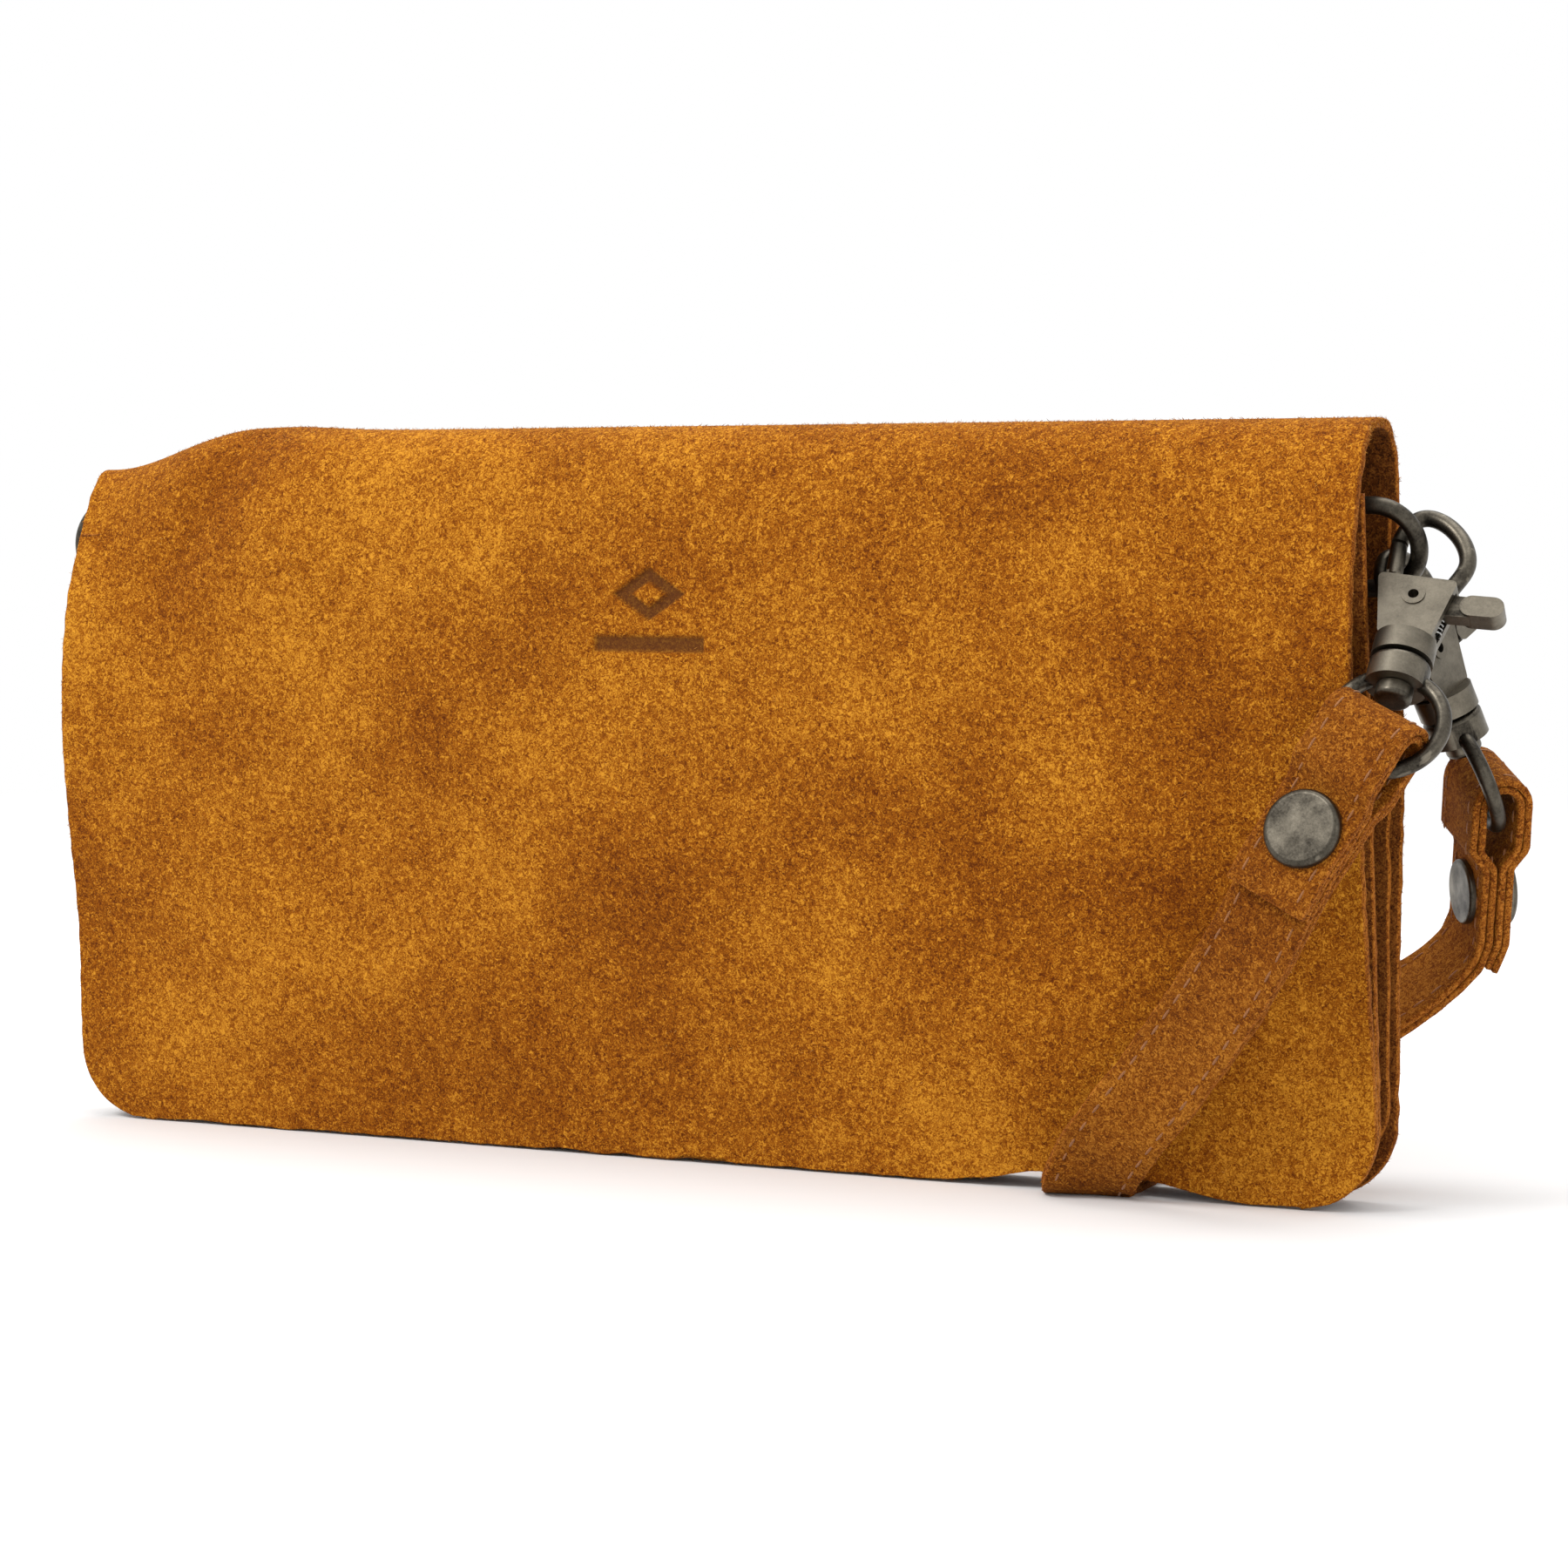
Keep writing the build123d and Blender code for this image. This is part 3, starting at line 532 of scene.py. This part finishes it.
def shell_middle():
    """The middle surface of the suede shell, from the back's lower edge over the fold to the flap's."""
    z = profile[:, 1][:, None] + 0 * column_marks
    y = profile[:, 0][:, None] + 0 * column_marks
    is_flap = smooth(-y, -1.0, 6.0)
    half = half_width(z) - corner_cut(rise)[:, None]
    x = column_marks * half
    x = x - 1.3 * is_flap * smooth(x, 70, 118) * bump(z, 84, 26)
    x = x + (0.1 * ripple(z, y, 4, 3) + 0.28 * ripple(z, y, 34, 4)) * smooth(abs(column_marks), 0.97, 1.0)
    high = smooth(z, SAG_START, SAG_FULL)
    low = 1 - smooth(z, LIFT_FULL, LIFT_END)
    z = z + crest(x) * high + hem_lift(x) * low
    z = z + 0.22 * ripple(x, y, 6, 5) * smooth(-rise, -1.4, 0)[:, None]
    # the left end of the fold is pinched flatter, and pulls soft creases into the flap below it
    pinch = 1 - smooth(x, -116, -92)
    y = y * (1 - 0.22 * pinch * smooth(z, 88, 112))
    crease = bump(x + 84 + 0.62 * (112 - z), 0, 6.5) * smooth(z, 84, 100)
    shoulder = bump(x + 66 + 0.25 * (112 - z), 0, 9) * smooth(z, 72, 100)
    hollow = bump(x + 97, 0, 14) * bump(z, 72, 20)
    y = y + is_flap * (1.5 * crease - 0.8 * shoulder + 0.6 * hollow)
    y = y - is_flap * 0.75 * ripple(x, z, 42, 11) * smooth(z, 8, 30)
    y = y - is_flap * (0.5 * bump(x, 20, 60) * bump(z, 50, 34) + 0.9 * smooth(x, 96, 118) * bump(z, 84, 24))
    is_back = smooth(y, 1.0, 6.0)
    y = y + is_back * 0.7 * (1 + ripple(x, z, 46, 21)) * smooth(z, 4, 26)
    return np.stack([x, y, z], axis=-1)


def mark_depth(middle):
    """The pressed mark: a diamond over a short bar, on the flap."""
    x, y, z = middle[..., 0] - MARK_X, middle[..., 1], middle[..., 2] - MARK_Z
    diamond = 1 - smooth(abs(x) / 6.6 + abs(z - 3.4) / 4.3, 0.93, 1.04)
    inner = 1 - smooth(abs(x) / 6.6 + abs(z - 3.4) / 4.3, 0.42, 0.53)
    bar = (1 - smooth(abs(x), 9.6, 10.1)) * (1 - smooth(abs(z + 4.6), 1.0, 1.5))
    return np.clip(diamond - inner + bar, 0, 1) * (y < -4)


shell_points = shell_middle()[:, ::-1]
pressed = mark_depth(shell_points)
shell = sheet("suede_shell", shell_points, SUEDE, suede, suede_rim, relief=MARK_DEPTH * pressed,
              inner_look=suede_inside_and_painted_shade)
pressed_values = np.zeros(len(shell.data.vertices), np.float32)
pressed_values[:pressed.size] = pressed.ravel()
shell.data.attributes.new("pressed", "FLOAT", "POINT").data.foreach_set("value", pressed_values)
shell_fibres = fuzz(shell, 16000, 5)
for piece in (shell, shell_fibres):
    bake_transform(piece)
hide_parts("back_panel", "flap_panel")


# ---------------------------------------------------------------- front panel, divider and linings
def hanging_panel(name, y_of, low, high, half_of, thickness, look, rim, radius=CORNER, wave=0.25, seed=1,
                  over_strap=False):
    """An upright sheet with rounded lower corners, slightly wavy. It may ride up over the strap."""
    z = spread_marks(low, high, 2.2, [(low, low + 12, 0.7)])[:, None]
    cut = radius - np.sqrt(radius ** 2 - np.clip(radius - (z - low), 0, radius) ** 2)
    u = np.linspace(-1, 1, 91)[None, :]
    x = u * (half_of(z) - cut)
    z = z + 0 * u
    z = z + crest(x) * smooth(z, SAG_START, SAG_FULL)
    if over_strap:
        z = z + hem_lift(x) * (1 - smooth(z, LIFT_FULL, LIFT_END))
    y = y_of(z) + wave * ripple(x, z, 30, seed) * smooth(z, low, low + 25)
    z = z + 0.15 * ripple(x, y, 6, seed + 1) * smooth(z, high - 1, high)
    return sheet(name, np.stack([x, y, z], axis=-1), thickness, look, rim)


def settle(piece, body, slot_name, *nodes):
    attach(piece, body)
    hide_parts(*nodes)


PANEL_TOP = front_high[2] + 2.5
front = hanging_panel("front_suede_panel", front_middle, 1.4, PANEL_TOP, lambda z: half_width(z) - 0.5,
                      SUEDE, suede_inside_and_painted_shade, suede_rim, seed=31, over_strap=True)
settle(front, "wallet_body", "suede_inner", "front_panel")
divider_low, divider_high = (np.array(corner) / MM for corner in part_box("divider_panel"))
divider = hanging_panel("divider_suede_sheet", lambda z: 0.3 + 1.2 * (1 - smooth(z, 8, 30)), divider_low[2],
                        divider_high[2], lambda z: divider_high[0] + 0 * z, 1.2, suede_inside_and_painted_shade, suede_rim,
                        radius=6, wave=0.3, seed=33)
settle(divider, "wallet_body", "suede_inner", "divider_panel")

for side, name in ((-1, "lining_front"), (1, "lining_back")):
    low, high = (np.array(corner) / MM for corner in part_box(name))
    face = front_middle if side < 0 else back_middle
    cloth = hanging_panel(name + "_cloth", lambda z, f=face, s=side: f(z) - s * (SUEDE / 2 + 0.55), low[2],
                          high[2], lambda z, w=high[0]: w + 0 * z, 0.5, lining_cloth, lining_cloth,
                          radius=8, wave=0.12, seed=35 + side)
    settle(cloth, "wallet_body", "lining", name)

for step, name in enumerate(("card_pocket_upper", "card_pocket_middle", "card_pocket_lower")):
    low, high = (np.array(corner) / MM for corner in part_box(name))
    depth = SUEDE / 2 + 1.4 + 0.9 * step
    pocket = hanging_panel(name + "_leather", lambda z, d=depth: back_middle(z) - d, low[2], high[2],
                           lambda z, w=high[0]: w + 0 * z, 0.8, suede_inside_and_painted_shade, suede_rim, radius=4, wave=0.05,
                           seed=37)
    settle(pocket, "wallet_body", "suede_inner", name)


# ---------------------------------------------------------------- folded side gussets
GUSSET_DEPTH = 20.5
GUSSET_LOW, GUSSET_TOP = 5.0, 107.0
GUSSET_CORNER = 10                  # radius of its lower corners
GUSSET_SUEDE = 1.4


def gusset_points(side):
    z = spread_marks(GUSSET_LOW, GUSSET_TOP, 2.2, [(GUSSET_LOW, GUSSET_LOW + 10, 0.8)])[:, None]
    q = np.linspace(-1, 1, 61)[None, :]
    reach = np.abs(q)
    short = np.clip(GUSSET_CORNER - (z - GUSSET_LOW), 0, GUSSET_CORNER)
    cut = GUSSET_CORNER - np.sqrt(GUSSET_CORNER ** 2 - short ** 2)
    x = half_width(z) - 1.0 - cut * reach - GUSSET_DEPTH * (1 - reach)
    front_leg = front_middle(z) + SUEDE + PANEL_GAP
    back_leg = back_middle(z) - SUEDE - PANEL_GAP
    middle = (front_leg + back_leg) / 2
    half = (back_leg - front_leg) / 2
    y = middle + np.sign(q) * half * np.sin(math.pi / 2 * np.clip(reach / 0.8, 0, 1))
    y = y + 0.12 * ripple(x, z, 18, 41)
    z = z + 0 * q + 0.2 * ripple(y, x, 6, 43) * smooth(z, GUSSET_TOP - 1, GUSSET_TOP)
    z = z + crest(side * x) * smooth(z, SAG_START, SAG_FULL)
    x = x + 0.2 * ripple(z, y, 6, 44) * smooth(reach, 0.97, 1)
    if side < 0:
        return np.stack([-x, y, z], axis=-1)[:, ::-1]
    return np.stack([x, y, z], axis=-1)


for side, name in ((1, "gusset_right"), (-1, "gusset_left")):
    gusset = sheet(name + "_suede", gusset_points(side), GUSSET_SUEDE, suede_inside_and_painted_shade, suede_rim)
    settle(gusset, "wallet_body", "suede", name)


# ---------------------------------------------------------------- D-ring tabs
RING_WIRE, TAB, TAB_HALF_WIDTH, TAB_TAIL = 2.7, 1.2, 4.2, 13.6


def tab_points(centre, bar, side):
    """A suede strip looped round the ring's straight bar, its two tails running inwards."""
    loop_radius = RING_WIRE / 2 + 0.08 + TAB / 2
    tail_gap = 0.72
    turn = np.linspace(math.pi / 2, -math.pi / 2, 15)
    loop = np.stack([loop_radius * np.cos(turn), loop_radius * np.sin(turn)], axis=1)
    away = np.linspace(TAB_TAIL, 0.6, 14)
    gap = tail_gap + (loop_radius - tail_gap) * (1 - smooth(away, 1, 8))
    tail = np.stack([-away, gap], axis=1)
    back = np.stack([-away[::-1], -gap[::-1]], axis=1)
    path = np.concatenate([tail, loop, back])
    outward = np.array([side, 0, 0], float)
    aside = np.cross(bar, outward)
    width = np.linspace(-TAB_HALF_WIDTH, TAB_HALF_WIDTH, 11)
    points = (centre + path[:, 0][:, None, None] * outward + path[:, 1][:, None, None] * aside
              + width[None, :, None] * bar)
    return points


for side, hand in ((1, "right"), (-1, "left")):
    ring = joints[f"d_ring_{hand}_swing"]
    bar = unit(np.array(ring["axis"], float))
    centre = np.array(ring["pos_m"], float) / MM
    name = f"ring_tab_{hand}"
    tab = sheet(name + "_suede", tab_points(centre, bar, side), TAB, strap_suede, suede_rim, chamfer=0.2)
    settle(tab, "wallet_body", "suede", name)

# ---------------------------------------------------------------- zip tapes
for name, side in (("zip_tape_front", -1), ("zip_tape_rear", 1)):
    low, high = (np.array(corner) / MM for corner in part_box(name))
    x = np.linspace(low[0], high[0], 90)[:, None]
    v = np.linspace(0, 1, 9)[None, :]
    y = low[1] + (high[1] - low[1]) * v + 0 * x
    outer_share = 1 - v if side < 0 else v
    z = (low[2] + high[2]) / 2 + 0.5 * outer_share ** 2 + 0.1 * ripple(x, y, 20, 51)
    points = np.stack([x + 0 * v, y, z], axis=-1)[:, ::-1]
    tape = sheet(name + "_cloth", points, 0.6, tape_cloth, tape_cloth, chamfer=0.15)
    settle(tape, "wallet_body", "zip_tape", name)

# ---------------------------------------------------------------- patch over the flap's magnet
patch_low, patch_high = (np.array(corner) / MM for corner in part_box("flap_patch"))
patch_middle = (patch_low + patch_high) / 2
patch_size = (patch_high - patch_low) / 2
u = np.linspace(-1, 1, 25)[None, :]
v = np.linspace(-1, 1, 21)[:, None]
ROUNDING = 0.42                     # how far the patch's corners are cut back
PATCH_LEAN = -0.105                 # the patch leans with the flap, this much per millimetre of height
narrowing = np.sqrt(np.maximum(1 - (ROUNDING * v ** 8), 0))
shortening = np.sqrt(np.maximum(1 - (ROUNDING * u ** 8), 0))
patch_x = patch_size[0] * u * narrowing
patch_z = patch_middle[2] + patch_size[2] * v * shortening
patch_lean = (patch_z - patch_middle[2]) * PATCH_LEAN
patch_crown = 0.35 * (1 - u ** 4) * (1 - v ** 4)
patch_y = patch_middle[1] + patch_lean + patch_crown
patch_points = np.stack([patch_x, patch_y, patch_z], axis=-1)[:, ::-1]
patch = sheet("magnet_patch_suede", patch_points, SUEDE, suede_inside_and_painted_shade, suede_rim)
settle(patch, "flap", "suede_inner", "flap_patch")


# ---------------------------------------------------------------- wrist strap
PLY, PLY_GAP, STRAP_WIDTH, CAVITY = 1.1, 0.08, 14.0, 2.35
MID = PLY / 2 + PLY_GAP
END = 2 * MID + PLY_GAP             # from the joint between run and fold to the middle of either
CAVITY_MID = CAVITY + 2 * MID
TURN_START = CAVITY_MID + PLY / 2 - 0.8
RIVET_AT, BEND_START, FOLD_LENGTH = 20.0, 26.3, 31.0
WIRE_DEPTH = 6.6
EYE_CENTRE = -21.5                  # below the trigger's pivot
half_stack = [(FOLD_LENGTH, END), (BEND_START, END), (RIVET_AT, END), (13.6, END), (10.6, CAVITY_MID),
              (TURN_START, CAVITY_MID)]


def clasp_axes(side):
    """A clasp's pivot, and its own x and z directions, from its joints."""
    pivot = np.array(joints[f"trigger_{side}_open"]["pos_m"], float) / MM
    y_axis = unit(np.array(joints[f"trigger_{side}_open"]["axis"], float))
    z_axis = unit(np.array(joints[f"clasp_{side}_swivel"]["axis"], float))
    return pivot, np.cross(y_axis, z_axis), z_axis


def end_frame(side, swivel, turn, lean):
    """Where the strap leaves an eye: the fold's top, the way down the strap, and its outer face.

    `swivel` is how far the eye is turned from its clasp's plate."""
    pivot, x_axis, z_axis = clasp_axes(side)
    swivel = math.radians(swivel)
    x_axis = x_axis * math.cos(swivel) + np.cross(z_axis, x_axis) * math.sin(swivel)
    turn, lean = math.radians(turn), math.radians(lean)
    down = x_axis * math.sin(turn) - z_axis * math.cos(turn)
    out = np.cross(x_axis, z_axis)
    leaning = down * math.cos(lean) - out * math.sin(lean)
    facing = out * math.cos(lean) + down * math.sin(lean)
    return pivot + z_axis * EYE_CENTRE + down * WIRE_DEPTH - leaning * WIRE_DEPTH, leaning, facing


def fold_stations(top, down, out, bend):
    """Place, travel and facing from the cut end, up over the eye's wire, and down to the run."""
    across = np.cross(out, down)
    bend = math.radians(bend)
    stations = []

    def place(along, aside):
        past = max(0.0, along - BEND_START)
        angle = bend * past / (FOLD_LENGTH - BEND_START)
        heading = down * math.cos(angle / 2) - out * math.sin(angle / 2)
        normal = out * math.cos(angle) + down * math.sin(angle)
        way = down * math.cos(angle) - out * math.sin(angle)
        return top + down * min(along, BEND_START) + heading * past + normal * aside, way, normal

    for along, aside in half_stack:
        spot, way, normal = place(along, aside)
        stations.append((spot, -way, -normal))
    turn_steps = 12
    for step in range(1, turn_steps):
        angle = math.pi * step / turn_steps
        spot = top + down * (TURN_START - CAVITY_MID * math.sin(angle)) + out * CAVITY_MID * math.cos(angle)
        travel = -out * math.sin(angle) - down * math.cos(angle)
        stations.append((spot, travel, np.cross(travel, across)))
    for along, aside in reversed(half_stack):
        spot, way, normal = place(along, -aside)
        stations.append((spot, way, normal))
    return stations


def run_stations(start, guides, end, count):
    """Stations on a smooth curve between two given ones, through the guide places."""
    spots = np.array([start[0], *[g[0] for g in guides], end[0]], float)
    facings = np.array([start[2], *[g[1] for g in guides], end[2]], float)
    gaps = np.linalg.norm(np.diff(spots, axis=0), axis=1)
    pulls = unit(np.diff(spots, axis=0)) / gaps[:, None]
    slopes = [start[1], *unit(pulls[:-1] + pulls[1:]), end[1]]
    stations = []
    for k, gap in enumerate(gaps):
        corners = np.array([spots[k], gap * slopes[k], spots[k + 1], gap * slopes[k + 1]])
        steps = max(3, round(count * gap / gaps.sum()))
        for step in range(1 if k == 0 else 0, steps):
            t = step / steps
            square, cube = t * t, t ** 3
            shares = (2 * cube - 3 * square + 1, cube - 2 * square + t, 3 * square - 2 * cube, cube - square)
            rates = (6 * square - 6 * t, 3 * square - 4 * t + 1, 6 * t - 6 * square, 3 * square - 2 * t)
            spot = np.dot(shares, corners)
            way = unit(np.dot(rates, corners))
            share = t * t * (3 - 2 * t)
            facing = facings[k] * (1 - share) + facings[k + 1] * share
            stations.append((spot, way, unit(facing - way * facing.dot(way))))
    return stations


front_fold = fold_stations(*end_frame("front", 0, -26, 20), 16)
rear_fold = fold_stations(*end_frame("rear", 46, 10, 21), 38)
rear_fold = [(spot, -way, facing) for spot, way, facing in reversed(rear_fold)]
STRAP_REST = PLY + PLY_GAP
floor_front = (np.array([STRAP_X, -6.5, STRAP_REST]), np.array([0, 1.0, 0]), np.array([0, 0, -1.0]))
floor_rear = (np.array([STRAP_X, 6.5, STRAP_REST]), np.array([0, 1.0, 0]), np.array([0, 0, -1.0]))
front_guides = [((88.0, -18.0, 22.0), (0.05, -1, 0.05)), ((75.2, -12.7, 6.8), (0, -0.85, -0.53))]
rear_guides = [((75.2, 12.7, 6.8), (0, 0.85, -0.53)), ((88.0, 17.3, 14.5), (0.15, 0.9, -0.4)),
               ((104.0, 19.5, 24.0), (0.45, 0.7, -0.5))]
strap_line = [*front_fold, *run_stations(front_fold[-1], front_guides, floor_front, 44), floor_front,
              floor_rear, *run_stations(floor_rear, rear_guides, rear_fold[0], 56), *rear_fold]
spots, ways, facings = (np.array([station[k] for station in strap_line], float) for k in range(3))
along = np.concatenate([[0], np.cumsum(np.linalg.norm(np.diff(spots, axis=0), axis=1))])
strap_marks = np.arange(0, along[-1], 0.9)


def at_marks(values, marks):
    return np.stack([np.interp(marks, along, values[:, k]) for k in range(3)], axis=1)


def strap_frame(marks):
    place = at_marks(spots, marks)
    way = unit(at_marks(ways, marks))
    facing = at_marks(facings, marks)
    facing = unit(facing - way * (facing * way).sum(axis=1, keepdims=True))
    return place, way, facing, np.cross(facing, way)


for name, offset, seed in (("strap_outer_layer", MID, 61), ("strap_inner_layer", -MID, 62)):
    place, way, facing, across = strap_frame(strap_marks)
    width = np.linspace(-STRAP_WIDTH / 2, STRAP_WIDTH / 2, 15)
    points = place[:, None] + facing[:, None] * offset + across[:, None] * width[None, :, None]
    edge = smooth(np.abs(width), 6.4, 7.0)[None, :]
    uneven = 0.12 * ripple(strap_marks[:, None], width[None, :], 5, seed) * edge
    points = points + across[:, None] * uneven[..., None]
    layer = sheet(name + "_suede", points, PLY, strap_suede, suede_rim, chamfer=0.2)
    settle(layer, "wrist_loop", "suede", name)
    loose = fuzz(layer, 4000, seed, length=0.6)
    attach(loose, "wrist_loop")

# stitching along both edges of the strap, on both faces
stitch_marks = np.arange(3.0, along[-1] - 3.0, 3.4)
place, way, facing, across = strap_frame(stitch_marks)
stitch_spots, stitch_ways, stitch_normals = [], [], []
for face in (1, -1):
    for side in (1, -1):
        surface = place + facing * face * (MID + PLY / 2 - 0.06) + across * side * (STRAP_WIDTH / 2 - 1.9)
        clear = surface[:, 2] > 0.3     # those on the floor are pressed into the suede
        stitch_spots.extend(surface[clear])
        stitch_ways.extend(way[clear])
        stitch_normals.extend(facing[clear] * face)
strap_stitching = tube_stitches("strap_stitching", stitch_spots, stitch_ways, stitch_normals, thread,
                                length=2.2, thick=0.36)
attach(strap_stitching, "wrist_loop")

# ---------------------------------------------------------------- stitching on the bag's back
STITCH_PITCH, SEAM_INSET, SEAM_RISE = 3.6, 4.0, 7
STITCH_SINK = 0.05                  # how far a stitch's middle lies under the suede's face
guide = shell_points[:, 60]         # a column near the middle, where the lower seam's row is looked up
seam_spots, seam_ways, seam_normals = [], [], []
for side in (1, -1):
    for z in np.arange(16, 104, STITCH_PITCH):
        x = side * (half_width(z) - SEAM_INSET)
        row = np.argmin(abs(shell_points[:, 0, 2] - z) + 100 * (shell_points[:, 0, 1] < 0))
        column = np.argmin(abs(shell_points[row, :, 0] - x))
        spot = shell_points[row, column] + np.array([0, SUEDE / 2 - STITCH_SINK, 0])
        seam_spots.append(spot)
        seam_ways.append(np.array([0, 0.05, 1.0]))
        seam_normals.append(np.array([0, 1.0, -0.05]))
for x in np.arange(-WIDE + 18, WIDE - 17, STITCH_PITCH):
    row = np.argmin(abs(guide[:, 2] - SEAM_RISE - hem_lift(x)) + 100 * (guide[:, 1] < 0))
    column = np.argmin(abs(shell_points[row, :, 0] - x))
    seam_spots.append(shell_points[row, column] + np.array([0, SUEDE / 2 - STITCH_SINK, 0]))
    seam_ways.append(np.array([1.0, 0, 0]))
    seam_normals.append(np.array([0, 1.0, -0.05]))
back_stitching = tube_stitches("back_stitching", seam_spots, seam_ways, seam_normals, thread, length=2.5)
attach(back_stitching, "wallet_body")


# ---------------------------------------------------------------- floor, light and camera
def make_stage():
    """A wide pale floor, under a white surround."""
    half = 6.0
    points = [(-half, -half, 0), (half, -half, 0), (half, half, 0), (-half, half, 0)]
    faces = [(0, 1, 2, 3)]
    mesh = bpy.data.meshes.new("studio_floor")
    mesh.from_pydata(points, [], faces)
    mesh.polygons.foreach_set("use_smooth", [True] * len(mesh.polygons))
    floor = bpy.data.objects.new("studio_floor", mesh)
    bpy.context.scene.collection.objects.link(floor)
    n = Nodes("pale_floor")
    n.finish(Base_Color=(0.76, 0.755, 0.75, 1.0), Roughness=0.9, Specular_IOR_Level=0.1)
    distance = n.add("ShaderNodeVectorMath", {0: n.add("ShaderNodeTexCoord").outputs["Object"]},
                     operation="LENGTH").outputs["Value"]
    glow = n.add("ShaderNodeEmission", {"Color": (1.0, 1.0, 1.0, 1.0)}).outputs[0]
    fade = n.add("ShaderNodeMixShader", {0: n.remap(distance, 0.35, 0.9), 1: n.shader.outputs[0], 2: glow})
    n.tree.links.new(fade.outputs[0], n.tree.nodes["Material Output"].inputs["Surface"])
    mesh.materials.append(n.material)


def area_light(name, place, target, size, power):
    data = bpy.data.lights.new(name, "AREA")
    data.shape = "DISK"
    data.size = size
    data.energy = power
    lamp = bpy.data.objects.new(name, data)
    lamp.location = place
    lamp.rotation_euler = (Vector(target) - Vector(place)).to_track_quat("-Z", "Y").to_euler()
    bpy.context.scene.collection.objects.link(lamp)


def make_camera():
    """The view from the front right, slightly above the middle of the bag."""
    azimuth, down_pitch = math.radians(24.7), math.radians(3.9)
    aim = Vector((-math.sin(azimuth) * math.cos(down_pitch), math.cos(azimuth) * math.cos(down_pitch),
                  -math.sin(down_pitch)))
    data = bpy.data.cameras.new("camera")
    data.sensor_width = 36.0
    data.lens = 85.2
    data.clip_start = 0.01
    camera = bpy.data.objects.new("camera", data)
    camera.location = (0.267, -0.546, 0.103)
    camera.rotation_euler = aim.to_track_quat("-Z", "Y").to_euler()
    bpy.context.scene.collection.objects.link(camera)
    bpy.context.scene.camera = camera


make_stage()
area_light("key_light", (-0.55, -0.9, 1.15), (0, 0, 0.05), 0.6, 12.6)
area_light("fill_light", (1.2, -0.7, 0.55), (0, 0, 0.06), 0.9, 2.0)
area_light("top_light", (0.1, 0.25, 1.3), (0, 0, 0.05), 1.2, 10.0)
world = bpy.data.worlds.new("studio_world")
world.use_nodes = True
world.node_tree.nodes["Background"].inputs["Color"].default_value = (1.0, 1.0, 1.0, 1.0)
world.node_tree.nodes["Background"].inputs["Strength"].default_value = 1.0
bpy.context.scene.world = world
bpy.context.scene.view_settings.view_transform = "Standard"
make_camera()

bpy.context.view_layer.update()
